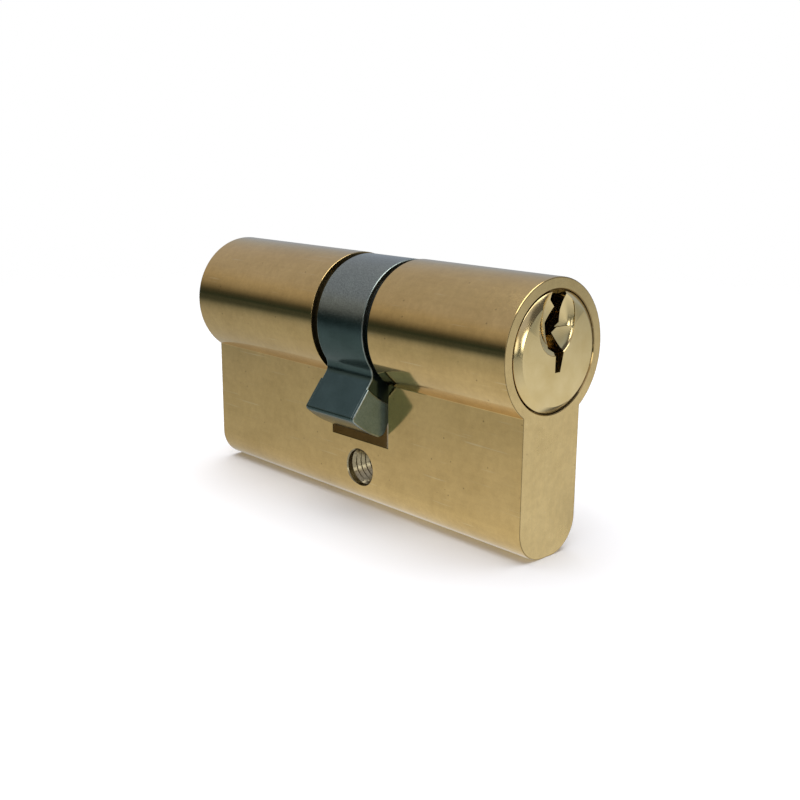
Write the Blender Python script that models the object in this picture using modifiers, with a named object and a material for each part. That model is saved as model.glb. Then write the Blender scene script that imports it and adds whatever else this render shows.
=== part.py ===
"""A double lock cylinder of the European profile, with its plugs, cam, clutch and pin stacks.

X runs along the cylinder and +X is the outside end. -Y is the front flank of the web and +Z is
up. The world origin is the centre of the fixing-screw hole, halfway through the web.
Sizes are in millimetres and the helpers turn them into metres.
"""

import math
from dataclasses import dataclass

import bmesh
import bpy
from mathutils import Matrix, Vector

MM = 0.001

# The profile of the housing.
BARREL_RADIUS = 8.5
WEB_WIDTH = 10.0
AXIS_TO_BOTTOM = 24.5
AXIS_TO_FIXING = 18.95
WEB_CORNER_RADIUS = 4.2
OUTSIDE_LENGTH = 27.5
INSIDE_LENGTH = 31.5

# The fixing-screw hole, for an M5 screw: its tapped core and the countersunk mouths.
FIXING_CORE_RADIUS = 2.1
FIXING_MOUTH_RADIUS = 2.6

# The opening for the cam, with the gap on each side of the cam's ring.
CAM_RING_WIDTH = 8.8
CAM_SIDE_GAP = 1.03
CAM_SLOT_WIDTH = CAM_RING_WIDTH + 2 * CAM_SIDE_GAP
CAM_SLOT_DEPTH = 15.15

# The plugs, with their heads.
PLUG_RADIUS = 6.5
PLUG_FIT = 0.05
HEAD_RADIUS = 7.0
HEAD_FIT = 0.15
HEAD_SEAT = 1.0
HEAD_PROUD = 0.55
BEVEL_WIDTH = 0.9
BEVEL_DEPTH = 0.6
SEAT_GAP = 0.05

# The scooped recess round the keyway mouth.
RECESS_WIDTH = 6.3
RECESS_HEIGHT = 7.4
RECESS_CENTRE_Z = 3.45
RECESS_DEPTH = 1.0

# The keyway: its bottom, and its ward outline from the bottom up on each side as (Y, Z).
KEYWAY_BOTTOM = -2.2
KEYWAY_LEFT = [(-0.5, KEYWAY_BOTTOM), (-0.5, 0.1), (-1.5, 0.65), (-1.6, 3.5), (0.0, 5.15), (-0.9, 6.0)]
KEYWAY_RIGHT = [(0.4, KEYWAY_BOTTOM), (0.95, 0.2), (-0.75, 2.35), (0.9, 3.3), (1.0, 4.7), (1.4, 6.3)]

# The pin stacks. Each key pin's tip height comes from the cuts of the one key for both sides.
PIN_RADIUS = 1.4
PIN_FIT = 0.1
PIN_CHAMFER = 0.1
KEY_PIN_TIPS = [-1.6, -0.4, -1.2, 0.4, -0.8]
FIRST_PIN_FROM_FACE = 4.5
LAST_PIN_WALL = 1.07
LAST_PIN_FROM_CENTRE = CAM_SLOT_WIDTH / 2 + LAST_PIN_WALL + PIN_RADIUS + PIN_FIT
PIN_ROW = min(OUTSIDE_LENGTH, INSIDE_LENGTH) - FIRST_PIN_FROM_FACE - LAST_PIN_FROM_CENTRE
PIN_PITCH = PIN_ROW / (len(KEY_PIN_TIPS) - 1)
KEY_PIN_TIP_RADIUS = 0.35
KEY_PIN_SINK = 0.17
PLUG_CHAMBER_TOP = 2.0
DRIVER_LENGTH = 4.8
DRIVER_GAP = 0.1
CAP_LENGTH = 2.4
CAP_FIT = 0.05
CAP_RECESS = 0.1

# The springs under the driver pins.
SPRING_INSET = 0.4
SPRING_RADIUS = PIN_RADIUS - SPRING_INSET
SPRING_WIRE_RADIUS = 0.16
SPRING_TURNS = 6
SPRING_POINTS_A_TURN = 8
SPRING_GAP = 0.05

# The cam: a ring with a flared tongue, whose outer part, the blade, is wider than the ring.
CAM_RING_RADIUS = 8.4
CAM_WEB_WIDTH = 4.6
CAM_BORE_FIT = 0.1
CAM_REST_ANGLE = math.radians(32.0)
TONGUE_RADIUS = 14.85
FLANK_OFFSET = 1.6
FLANK_FLARE = math.radians(5.7)
FLANK_FILLET = 1.6
BLADE_LIP = 0.3
BLADE_START_RADIUS = 10.4
BLADE_OVERLAP = 1.5
BLADE_STEP = 0.05
BLADE_FRONT_ROUND = 0.5
BLADE_REAR_ROUND = 1.1

# The sliding clutch between the plugs.
STUB_GAP = 0.2
CLUTCH_THICKNESS = 3.0
CLUTCH_BAR_INSET = 0.9
CLUTCH_BAR_LENGTH = 2 * (PLUG_RADIUS - CLUTCH_BAR_INSET)
CLUTCH_BAR_HEIGHT = 3.0
CLUTCH_HUB_RADIUS = 3.0
CLUTCH_FIT = 0.1
CAM_HUB_FIT = 0.3
CLUTCH_ENGAGED = 1.4
CLUTCH_TRAVEL = 2.0

# The clips that hold the plugs in.
CLIP_THICKNESS = 0.8
CLIP_OUTER_RADIUS = 7.4
CLIP_GROOVE_DEPTH = 0.6
CLIP_FIT = 0.05
CLIP_WALL_GAP = 0.08
CLIP_OPENING = math.radians(70.0)

# How finely the round shapes are divided.
BARREL_STEPS = 64
CAM_RING_STEPS = 60
BORE_STEPS = 48
CLIP_STEPS = 36
HOLE_STEPS = 24
RECESS_STEPS = 24
PIN_STEPS = 16
WEB_CORNER_STEPS = 10
TONGUE_STEPS = 8
FILLET_STEPS = 6
SHARP_ANGLE = math.radians(30.0)
WELD_DISTANCE = 0.001
CUT_MARGIN = 1.0


@dataclass(frozen=True)
class Half:
    """One half of the cylinder, modelled along its own +X and turned into place."""

    name: str
    length: float
    turn: float
    clutch_start: float


CAM_WEB_HALF = CAM_WEB_WIDTH / 2
STUB_END = CAM_WEB_HALF + STUB_GAP
OUTSIDE = Half("outside", OUTSIDE_LENGTH, 0.0, CAM_WEB_HALF - CLUTCH_ENGAGED)
INSIDE = Half("inside", INSIDE_LENGTH, math.pi, CAM_WEB_HALF - CLUTCH_ENGAGED + CLUTCH_TRAVEL)
HALVES = [OUTSIDE, INSIDE]


# Scene and materials


def clear_scene():
    for old in list(bpy.data.objects):
        bpy.data.objects.remove(old, do_unlink=True)


def new_collection(name, hidden):
    collection = bpy.data.collections.new(name)
    collection.hide_render = hidden
    bpy.context.scene.collection.children.link(collection)
    return collection


def metal(name, colour, roughness):
    material = bpy.data.materials.new(name)
    material.use_nodes = True
    shader = material.node_tree.nodes["Principled BSDF"]
    shader.inputs["Base Color"].default_value = (*colour, 1.0)
    shader.inputs["Roughness"].default_value = roughness
    shader.inputs["Metallic"].default_value = 1.0
    return material


def empty(name, parent, location=(0.0, 0.0, 0.0), turn=0.0):
    frame = bpy.data.objects.new(name, None)
    PARTS.objects.link(frame)
    frame.parent = parent
    frame.location = Vector(location) * MM
    frame.rotation_euler.z = turn
    return frame


# Solids


def add_object(name, mesh, parent, location=(0.0, 0.0, 0.0), cutter=False):
    solid = bpy.data.objects.new(name, mesh)
    (CUTTERS if cutter else PARTS).objects.link(solid)
    solid.parent = parent
    solid.location = Vector(location) * MM
    if cutter:
        solid.hide_render = True
        solid.display_type = "WIRE"
    return solid


def shade(mesh):
    for face in mesh.polygons:
        face.use_smooth = True
    mesh.set_sharp_from_angle(angle=SHARP_ANGLE)


def mesh_from(name, bm):
    bmesh.ops.recalc_face_normals(bm, faces=bm.faces)
    mesh = bpy.data.meshes.new(name)
    bm.to_mesh(mesh)
    bm.free()
    shade(mesh)
    return mesh


def add_cylinder(bm, radius, start, end, sides):
    """Adds a closed cylinder between two points to the bmesh."""
    start = Vector(start) * MM
    end = Vector(end) * MM
    direction = end - start
    turn = direction.to_track_quat("Z", "Y").to_matrix().to_4x4()
    matrix = Matrix.Translation((start + end) / 2) @ turn
    bmesh.ops.create_cone(
        bm,
        cap_ends=True,
        segments=sides,
        radius1=radius * MM,
        radius2=radius * MM,
        depth=direction.length,
        matrix=matrix,
    )


def cylinders_mesh(name, radius, ends, sides):
    """A mesh of one or more separate cylinders, each given as (start, end)."""
    bm = bmesh.new()
    for start, end in ends:
        add_cylinder(bm, radius, start, end, sides)
    return mesh_from(name, bm)


def box_mesh(name, low, high):
    low = Vector(low) * MM
    high = Vector(high) * MM
    size = Matrix.Diagonal((*(high - low), 1.0))
    bm = bmesh.new()
    bmesh.ops.create_cube(bm, size=1.0, matrix=Matrix.Translation((low + high) / 2) @ size)
    return mesh_from(name, bm)


def mesh_from_curve(name, curve, matrix):
    """Turns curve data into a mesh with welded caps, in the frame that the matrix gives."""
    source = bpy.data.objects.new(name, curve)
    bpy.context.scene.collection.objects.link(source)
    graph = bpy.context.evaluated_depsgraph_get()
    made = bpy.data.meshes.new_from_object(source.evaluated_get(graph))
    bpy.data.objects.remove(source)
    bpy.data.curves.remove(curve)
    bm = bmesh.new()
    bm.from_mesh(made)
    bpy.data.meshes.remove(made)
    bmesh.ops.remove_doubles(bm, verts=bm.verts, dist=WELD_DISTANCE * MM)
    bmesh.ops.transform(bm, matrix=matrix, verts=bm.verts)
    return mesh_from(name, bm)


def prism_mesh(name, outline, start, end):
    """A flat outline of (Y, Z) points, as a solid between two places along X."""
    curve = bpy.data.curves.new(name, "CURVE")
    curve.dimensions = "2D"
    curve.fill_mode = "BOTH"
    curve.extrude = (end - start) / 2 * MM
    spline = curve.splines.new("POLY")
    spline.points.add(len(outline) - 1)
    spline.use_cyclic_u = True
    for point, (y, z) in zip(spline.points, outline):
        point.co = (y * MM, z * MM, 0.0, 1.0)
    yz_to_world = Matrix(((0, 0, 1, 0), (1, 0, 0, 0), (0, 1, 0, 0), (0, 0, 0, 1)))
    middle = Matrix.Translation(((start + end) / 2 * MM, 0.0, 0.0))
    return mesh_from_curve(name, curve, middle @ yz_to_world)


def turned(name, profile, parent, location=(0.0, 0.0, 0.0), axis="Z", steps=PIN_STEPS, cutter=False):
    """A turned solid. The profile is (radius, height) from the top down, and X or Y can be its axis."""
    along = {"Z": Matrix(), "X": Matrix.Rotation(math.pi / 2, 4, "Y"), "Y": Matrix.Rotation(-math.pi / 2, 4, "X")}
    mesh = bpy.data.meshes.new(name)
    points = [along[axis] @ Vector((radius * MM, 0.0, height * MM)) for radius, height in profile]
    mesh.from_pydata(points, [(i, i + 1) for i in range(len(points) - 1)], [])
    solid = add_object(name, mesh, parent, location, cutter)
    screw = solid.modifiers.new("turn", "SCREW")
    screw.axis = axis
    screw.steps = steps
    screw.render_steps = steps
    screw.use_merge_vertices = True
    screw.merge_threshold = WELD_DISTANCE * MM
    screw.use_smooth_shade = True
    return solid


def cut(solid, cutter):
    boolean = solid.modifiers.new(cutter.name, "BOOLEAN")
    boolean.operation = "DIFFERENCE"
    boolean.solver = "EXACT"
    boolean.object = cutter


def join(solid, other):
    boolean = solid.modifiers.new(other.name, "BOOLEAN")
    boolean.operation = "UNION"
    boolean.solver = "EXACT"
    boolean.object = other


def finish(solid, material):
    solid.data.materials.append(material)
    return solid


# Outlines


def arc(centre, radius, start, end, steps):
    """Points of an arc. Angles are measured from straight down towards +Y."""
    y, z = centre
    angles = [start + (end - start) * i / steps for i in range(steps + 1)]
    return [(y + radius * math.sin(a), z - radius * math.cos(a)) for a in angles]


def rotated(points, angle):
    """Turns points about the axis, from straight down towards +Y."""
    c, s = math.cos(angle), math.sin(angle)
    return [(y * c - z * s, y * s + z * c) for y, z in points]


def rounded_corner(before, corner, after, radius, steps):
    """The arc of a radius that replaces a corner between two straight lines."""
    corner = Vector(corner)
    to_before = (Vector(before) - corner).normalized()
    to_after = (Vector(after) - corner).normalized()
    half = to_before.angle(to_after) / 2
    centre = corner + (to_before + to_after).normalized() * (radius / math.sin(half))
    first = corner + to_before * (radius / math.tan(half)) - centre
    last = corner + to_after * (radius / math.tan(half)) - centre
    sweep = first.angle_signed(last)
    return [tuple(centre + Matrix.Rotation(-sweep * i / steps, 2) @ first) for i in range(steps + 1)]


def profile_outline():
    """The housing's profile: the round barrel with the web below it."""
    half = WEB_WIDTH / 2
    neck = math.asin(half / BARREL_RADIUS)
    corner_y = half - WEB_CORNER_RADIUS
    corner_z = WEB_CORNER_RADIUS - AXIS_TO_BOTTOM
    barrel = arc((0.0, 0.0), BARREL_RADIUS, neck, 2 * math.pi - neck, BARREL_STEPS)
    left = arc((-corner_y, corner_z), WEB_CORNER_RADIUS, -math.pi / 2, 0.0, WEB_CORNER_STEPS)
    right = arc((corner_y, corner_z), WEB_CORNER_RADIUS, 0.0, math.pi / 2, WEB_CORNER_STEPS)
    return barrel + left + right


def flank_outline(offset, tip_radius, tip_round):
    """One side of the tongue, from the ring to the middle of its end, on the +Y side."""
    reach = CAM_RING_RADIUS + FLANK_FILLET
    centre_y = offset + FLANK_FILLET
    centre_z = -math.sqrt(reach**2 - centre_y**2)
    ring_angle = math.atan2(centre_y, -centre_z)
    fillet = arc((centre_y, centre_z), FLANK_FILLET, ring_angle - math.pi, -math.pi / 2, FILLET_STEPS)
    flank = rotated([*fillet, (offset, -math.sqrt(tip_radius**2 - offset**2))], FLANK_FLARE)
    corner = flank.pop()
    tip = arc((0.0, 0.0), tip_radius, math.atan2(corner[0], -corner[1]), 0.0, TONGUE_STEPS)
    beyond = [point for point in tip if math.dist(point, corner) > tip_round]
    return flank + rounded_corner(flank[-1], corner, tip[1], tip_round, FILLET_STEPS) + beyond


def mirrored(points):
    return [(-y, z) for y, z in points]


def neck_outline():
    """The ring with the root of the tongue, straight down. It ends inside the tongue's blade."""
    flank = flank_outline(FLANK_OFFSET, BLADE_START_RADIUS + BLADE_OVERLAP, BLADE_FRONT_ROUND)
    start = math.atan2(flank[0][0], -flank[0][1])
    ring = arc((0.0, 0.0), CAM_RING_RADIUS, start, 2 * math.pi - start, CAM_RING_STEPS)
    return ring[1:-1] + mirrored(flank) + flank[::-1][1:]


def blade_outline():
    """The wide outer part of the tongue, straight down. Its front is on the -Y side."""
    inner = BLADE_START_RADIUS
    offset = FLANK_OFFSET + BLADE_STEP
    front = flank_outline(offset, TONGUE_RADIUS, BLADE_FRONT_ROUND)
    rear = flank_outline(offset, TONGUE_RADIUS, BLADE_REAR_ROUND)
    front = [point for point in front if math.hypot(*point) > inner]
    rear = [point for point in rear if math.hypot(*point) > inner]
    edge = FLANK_FLARE + math.asin(offset / inner)
    return arc((0.0, 0.0), inner, edge, -edge, TONGUE_STEPS) + mirrored(front) + rear[::-1][1:]


def clip_outline():
    """An open ring, with its opening at the top."""
    inner = PLUG_RADIUS - CLIP_GROOVE_DEPTH + CLIP_FIT
    start = math.pi - CLIP_OPENING / 2
    outside = arc((0.0, 0.0), CLIP_OUTER_RADIUS, -start, start, CLIP_STEPS)
    return outside + arc((0.0, 0.0), inner, start, -start, CLIP_STEPS)


# Pieces


def make_housing(axis):
    housing = add_object(
        "housing",
        prism_mesh("housing", profile_outline(), -INSIDE_LENGTH, OUTSIDE_LENGTH),
        axis,
    )
    slot_low = (-CAM_SLOT_WIDTH / 2, -BARREL_RADIUS - CUT_MARGIN, -CAM_SLOT_DEPTH)
    slot_high = (CAM_SLOT_WIDTH / 2, BARREL_RADIUS + CUT_MARGIN, BARREL_RADIUS + CUT_MARGIN)
    cut(housing, add_object("cam_slot_cut", box_mesh("cam_slot_cut", slot_low, slot_high), axis, cutter=True))
    cut(housing, fixing_hole_cutter(axis))
    for half in HALVES:
        frame = HALF_FRAMES[half.name]
        cut(housing, bore_cutter(half, frame))
        cut(housing, chamber_cutter(half, frame))
    return finish(housing, metal("satin_brass", (0.62, 0.44, 0.19), 0.34))


def fixing_hole_cutter(axis):
    """The tapped hole across the web, with a countersunk mouth on each flank."""
    flank = WEB_WIDTH / 2
    sink = FIXING_MOUTH_RADIUS - FIXING_CORE_RADIUS
    mouth = [
        (FIXING_MOUTH_RADIUS + CUT_MARGIN, flank + CUT_MARGIN),
        (FIXING_CORE_RADIUS, flank - sink),
    ]
    profile = [(0.0, flank + CUT_MARGIN), *mouth]
    profile += [(radius, -height) for radius, height in reversed(profile)]
    return turned(
        "fixing_hole_cut", profile, axis, (0.0, 0.0, -AXIS_TO_FIXING), "Y", HOLE_STEPS, cutter=True
    )


def bore_cutter(half, frame):
    """The plug's bore and the seat of its head."""
    bore = PLUG_RADIUS + PLUG_FIT
    seat = half.length - HEAD_SEAT - SEAT_GAP
    head = HEAD_RADIUS + HEAD_FIT
    outer = half.length + CUT_MARGIN
    inner = CAM_SLOT_WIDTH / 2 - CUT_MARGIN
    profile = [(0.0, outer), (head, outer), (head, seat), (bore, seat), (bore, inner), (0.0, inner)]
    return turned(f"{half.name}_bore_cut", profile, frame, (0, 0, 0), "X", BORE_STEPS, cutter=True)


def pin_places(half):
    """The places of the pin stacks along X, from the face inwards."""
    return [half.length - FIRST_PIN_FROM_FACE - PIN_PITCH * i for i in range(len(KEY_PIN_TIPS))]


def chamber_cutter(half, frame):
    """The pin chambers in the web, from its bottom up into the bore."""
    name = f"{half.name}_chamber_cut"
    low = -AXIS_TO_BOTTOM - CUT_MARGIN
    ends = [((x, 0.0, low), (x, 0.0, -PLUG_RADIUS + CUT_MARGIN)) for x in pin_places(half)]
    return add_object(name, cylinders_mesh(name, PIN_RADIUS + PIN_FIT, ends, PIN_STEPS), frame, cutter=True)


def make_plug(half, frame):
    """The plug with its head, clip groove, keyway, pin chambers and clutch slot."""
    face = half.length + HEAD_PROUD
    seat = half.length - HEAD_SEAT
    groove = PLUG_RADIUS - CLIP_GROOVE_DEPTH
    clip_end = CAM_SLOT_WIDTH / 2 - CLIP_WALL_GAP + CLIP_FIT
    clip_start = clip_end - CLIP_THICKNESS - 2 * CLIP_FIT
    profile = [
        (0.0, face),
        (HEAD_RADIUS - BEVEL_WIDTH, face),
        (HEAD_RADIUS, face - BEVEL_DEPTH),
        (HEAD_RADIUS, seat),
        (PLUG_RADIUS, seat),
        (PLUG_RADIUS, clip_end),
        (groove, clip_end),
        (groove, clip_start),
        (PLUG_RADIUS, clip_start),
        (PLUG_RADIUS, STUB_END),
        (0.0, STUB_END),
    ]
    plug = turned(f"{half.name}_plug", profile, frame, (0, 0, 0), "X", BORE_STEPS)
    for cutter in plug_cutters(half, frame, face):
        cut(plug, cutter)
    return finish(plug, metal(f"{half.name}_plug_brass", (0.68, 0.53, 0.27), 0.28))


def plug_cutters(half, frame, face):
    """The cutters of the plug: keyway, recess, pin chambers and clutch slot."""
    rim = HEAD_RADIUS + CUT_MARGIN
    left = [*KEYWAY_LEFT, (KEYWAY_LEFT[-1][0], rim)]
    right = [*KEYWAY_RIGHT, (KEYWAY_RIGHT[-1][0], rim)]
    keyway = prism_mesh(f"{half.name}_keyway_cut", right + left[::-1], STUB_END - CUT_MARGIN, face + CUT_MARGIN)

    ends = [((x, 0.0, -PLUG_RADIUS - CUT_MARGIN), (x, 0.0, PLUG_CHAMBER_TOP)) for x in pin_places(half)]
    chambers = cylinders_mesh(f"{half.name}_pin_hole_cut", PIN_RADIUS + PIN_FIT, ends, PIN_STEPS)

    slot_end = INSIDE.clutch_start + CLUTCH_THICKNESS + CLUTCH_FIT
    slot_half = CLUTCH_BAR_HEIGHT / 2 + CLUTCH_FIT
    side = PLUG_RADIUS + CUT_MARGIN
    slot = box_mesh(
        f"{half.name}_clutch_slot_cut", (STUB_END - CUT_MARGIN, -side, -slot_half), (slot_end, side, slot_half)
    )

    hub_end = STUB_END + CLUTCH_ENGAGED + CLUTCH_FIT - STUB_GAP
    hub = cylinders_mesh(
        f"{half.name}_clutch_hub_cut",
        CLUTCH_HUB_RADIUS + CLUTCH_FIT,
        [((STUB_END - CUT_MARGIN, 0.0, 0.0), (hub_end, 0.0, 0.0))],
        HOLE_STEPS,
    )
    cutters = [add_object(mesh.name, mesh, frame, cutter=True) for mesh in (keyway, chambers, slot, hub)]
    return [*cutters, recess_cutter(half, frame, face)]


def recess_cutter(half, frame, face):
    """A flat ellipsoid whose middle lies on the face of the plug."""
    bm = bmesh.new()
    bmesh.ops.create_uvsphere(bm, u_segments=RECESS_STEPS, v_segments=RECESS_STEPS // 2, radius=1.0)
    size = Matrix.Diagonal((RECESS_DEPTH * MM, RECESS_WIDTH / 2 * MM, RECESS_HEIGHT / 2 * MM, 1.0))
    bmesh.ops.transform(bm, matrix=size, verts=bm.verts)
    name = f"{half.name}_recess_cut"
    return add_object(name, mesh_from(name, bm), frame, (face, 0.0, RECESS_CENTRE_Z), cutter=True)


def make_key_pin(half, plug, number, x):
    """A pointed pin that stands in the plug, its flat end just inside the shear line."""
    tip = KEY_PIN_TIPS[number - 1]
    end = -PLUG_RADIUS + KEY_PIN_SINK
    cone_foot = tip - (PIN_RADIUS - KEY_PIN_TIP_RADIUS)
    profile = [
        (0.0, tip),
        (KEY_PIN_TIP_RADIUS, tip),
        (PIN_RADIUS, cone_foot),
        (PIN_RADIUS, end + PIN_CHAMFER),
        (PIN_RADIUS - PIN_CHAMFER, end),
        (0.0, end),
    ]
    pin = turned(f"{half.name}_key_pin_{number}", profile, plug, (x, 0.0, 0.0))
    return finish(pin, metal(f"{half.name}_key_pin_{number}_brass", (0.72, 0.56, 0.28), 0.22))


def driver_span():
    """The top and the bottom of a driver pin."""
    top = -PLUG_RADIUS - DRIVER_GAP
    return top, top - DRIVER_LENGTH


def make_driver_pin(half, frame, number, x):
    top, bottom = driver_span()
    profile = [
        (0.0, top),
        (PIN_RADIUS - PIN_CHAMFER, top),
        (PIN_RADIUS, top - PIN_CHAMFER),
        (PIN_RADIUS, bottom + PIN_CHAMFER),
        (PIN_RADIUS - PIN_CHAMFER, bottom),
        (0.0, bottom),
    ]
    pin = turned(f"{half.name}_driver_pin_{number}", profile, frame, (x, 0.0, 0.0))
    return finish(pin, metal(f"{half.name}_driver_pin_{number}_steel", (0.60, 0.60, 0.58), 0.20))


def cap_span():
    """The top and the bottom of a chamber cap."""
    bottom = -AXIS_TO_BOTTOM + CAP_RECESS
    return bottom + CAP_LENGTH, bottom


def make_cap(half, frame, number, x):
    top, bottom = cap_span()
    radius = PIN_RADIUS + PIN_FIT - CAP_FIT
    profile = [(0.0, top), (radius, top), (radius, bottom), (0.0, bottom)]
    cap = turned(f"{half.name}_chamber_cap_{number}", profile, frame, (x, 0.0, 0.0))
    return finish(cap, metal(f"{half.name}_chamber_cap_{number}_brass", (0.66, 0.48, 0.22), 0.36))


def make_spring(half, frame, number, x):
    """A coil between the driver pin and the cap, with a flat turn at each end."""
    top = driver_span()[1] - SPRING_GAP - SPRING_WIRE_RADIUS
    bottom = cap_span()[0] + SPRING_GAP + SPRING_WIRE_RADIUS
    steps = SPRING_TURNS * SPRING_POINTS_A_TURN
    flat = SPRING_POINTS_A_TURN
    name = f"{half.name}_spring_{number}"
    curve = bpy.data.curves.new(name, "CURVE")
    curve.dimensions = "3D"
    curve.bevel_depth = SPRING_WIRE_RADIUS * MM
    curve.bevel_resolution = 2
    curve.use_fill_caps = True
    spline = curve.splines.new("POLY")
    spline.points.add(steps)
    wire = 2 * SPRING_WIRE_RADIUS + SPRING_GAP
    for i, point in enumerate(spline.points):
        angle = 2 * math.pi * i / SPRING_POINTS_A_TURN
        climb = min(max((i - flat) / (steps - 2 * flat), 0.0), 1.0)
        end_rise = wire * (min(i / flat, 1.0) + min(max(i - steps + flat, 0) / flat, 1.0))
        z = bottom + end_rise + climb * (top - bottom - 2 * wire)
        point.co = (SPRING_RADIUS * math.cos(angle) * MM, SPRING_RADIUS * math.sin(angle) * MM, z * MM, 1.0)
    spring = add_object(name, mesh_from_curve(name, curve, Matrix()), frame, (x, 0.0, 0.0))
    return finish(spring, metal(f"{name}_steel", (0.56, 0.55, 0.52), 0.25))


def make_clip(half, plug):
    """The snap ring in the plug's groove, which bears on the wall of the cam slot."""
    end = CAM_SLOT_WIDTH / 2 - CLIP_WALL_GAP
    name = f"{half.name}_clip"
    clip = add_object(name, prism_mesh(name, clip_outline(), end - CLIP_THICKNESS, end), plug)
    return finish(clip, metal(f"{name}_steel", (0.35, 0.35, 0.34), 0.35))


def make_clutch(half, plug):
    """The bar that locks a plug to the cam, with the hub that reaches to the other half's bar."""
    start = half.clutch_start
    low = (start, -CLUTCH_BAR_LENGTH / 2, -CLUTCH_BAR_HEIGHT / 2)
    high = (start + CLUTCH_THICKNESS, CLUTCH_BAR_LENGTH / 2, CLUTCH_BAR_HEIGHT / 2)
    name = f"{half.name}_clutch"
    clutch = add_object(name, box_mesh(name, low, high), plug)
    meeting = CLUTCH_TRAVEL / 2 if half is INSIDE else -CLUTCH_TRAVEL / 2
    hub_low = (meeting + CLUTCH_FIT / 2, 0.0, 0.0)
    hub_high = (start + CLUTCH_FIT, 0.0, 0.0)
    hub = cylinders_mesh(f"{name}_hub", CLUTCH_HUB_RADIUS, [(hub_low, hub_high)], HOLE_STEPS)
    join(clutch, add_object(hub.name, hub, plug, cutter=True))
    return finish(clutch, metal(f"{name}_steel", (0.45, 0.45, 0.43), 0.30))


def make_cam(axis):
    """The cam, its tongue turned towards the front by the rest angle."""
    frame = empty("cam_frame", axis)
    turn = -CAM_REST_ANGLE
    half_ring = CAM_RING_WIDTH / 2
    cam = add_object("cam", prism_mesh("cam", rotated(neck_outline(), turn), -half_ring, half_ring), frame)
    half_blade = half_ring + BLADE_LIP
    blade = prism_mesh("cam_blade", rotated(blade_outline(), turn), -half_blade, half_blade)
    join(cam, add_object("cam_blade", blade, frame, cutter=True))

    bore = PLUG_RADIUS + CAM_BORE_FIT
    outer = half_ring + CUT_MARGIN
    ends = [((s * CAM_WEB_HALF, 0.0, 0.0), (s * outer, 0.0, 0.0)) for s in (-1, 1)]
    bores = cylinders_mesh("cam_bore_cut", bore, ends, BORE_STEPS)
    hub_hole = cylinders_mesh(
        "cam_hub_cut", CLUTCH_HUB_RADIUS + CAM_HUB_FIT, [((-outer, 0, 0), (outer, 0, 0))], HOLE_STEPS
    )
    slot_y = CLUTCH_BAR_LENGTH / 2 + CAM_HUB_FIT
    slot_z = CLUTCH_BAR_HEIGHT / 2 + CLUTCH_FIT
    slot = box_mesh("cam_key_cut", (-outer, -slot_y, -slot_z), (outer, slot_y, slot_z))
    for mesh in (bores, hub_hole, slot):
        cut(cam, add_object(mesh.name, mesh, frame, cutter=True))
    return finish(cam, metal("blackened_steel", (0.13, 0.16, 0.16), 0.32))


clear_scene()
PARTS = new_collection("euro_profile_double_cylinder", hidden=False)
CUTTERS = new_collection("cutters", hidden=True)
AXIS = empty("cylinder_axis", None, (0.0, 0.0, AXIS_TO_FIXING))
HALF_FRAMES = {half.name: empty(f"{half.name}_half", AXIS, turn=half.turn) for half in HALVES}

make_housing(AXIS)
make_cam(AXIS)
for side in HALVES:
    side_frame = HALF_FRAMES[side.name]
    side_plug = make_plug(side, side_frame)
    make_clip(side, side_plug)
    make_clutch(side, side_plug)
    for pin_number, pin_x in enumerate(pin_places(side), 1):
        make_key_pin(side, side_plug, pin_number, pin_x)
        make_driver_pin(side, side_frame, pin_number, pin_x)
        make_spring(side, side_frame, pin_number, pin_x)
        make_cap(side, side_frame, pin_number, pin_x)
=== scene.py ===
"""Visual model of a double lock cylinder of the European profile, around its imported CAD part.

Every shape is worked in millimetres in the cylinder's own frame, whose origin is on the axis:
X runs along the cylinder towards the outside end, -Y is the front flank and +Z is up. A
finished piece is moved to the part's frame and turned into metres inside its mesh.
"""

import logging
import math
from collections.abc import Callable, Sequence
from dataclasses import dataclass, field
from enum import Enum

import bmesh
import bpy
from mathutils import Matrix, Vector

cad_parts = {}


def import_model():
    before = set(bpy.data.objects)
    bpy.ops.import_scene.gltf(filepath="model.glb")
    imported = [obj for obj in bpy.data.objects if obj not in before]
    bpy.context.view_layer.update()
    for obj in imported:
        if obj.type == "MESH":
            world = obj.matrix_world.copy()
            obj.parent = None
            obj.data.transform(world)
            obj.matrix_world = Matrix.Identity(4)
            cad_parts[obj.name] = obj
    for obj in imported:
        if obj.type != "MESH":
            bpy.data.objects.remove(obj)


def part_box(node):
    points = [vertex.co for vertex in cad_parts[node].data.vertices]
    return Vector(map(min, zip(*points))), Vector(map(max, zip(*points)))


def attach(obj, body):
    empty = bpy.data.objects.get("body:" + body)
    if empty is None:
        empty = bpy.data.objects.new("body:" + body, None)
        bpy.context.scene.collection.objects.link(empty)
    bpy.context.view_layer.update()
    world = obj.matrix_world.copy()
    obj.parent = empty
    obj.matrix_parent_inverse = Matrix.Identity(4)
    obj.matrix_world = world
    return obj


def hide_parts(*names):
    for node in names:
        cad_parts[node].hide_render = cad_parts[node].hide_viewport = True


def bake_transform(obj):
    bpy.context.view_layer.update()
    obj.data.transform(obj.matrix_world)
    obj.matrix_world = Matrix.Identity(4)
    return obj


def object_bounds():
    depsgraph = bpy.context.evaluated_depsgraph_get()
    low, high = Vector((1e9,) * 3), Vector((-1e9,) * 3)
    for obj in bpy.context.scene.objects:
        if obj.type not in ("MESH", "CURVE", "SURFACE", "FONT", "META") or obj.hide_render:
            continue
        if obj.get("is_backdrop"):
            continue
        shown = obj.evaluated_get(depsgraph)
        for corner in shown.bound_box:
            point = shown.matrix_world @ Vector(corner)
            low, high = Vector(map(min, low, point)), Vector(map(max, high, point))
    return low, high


LOG = logging.getLogger("lock_cylinder")
MM = 0.001
WELD = 0.0005
# The wave texture makes one ring in this much of its own coordinates.
WAVE_PERIOD = 0.31
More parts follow.
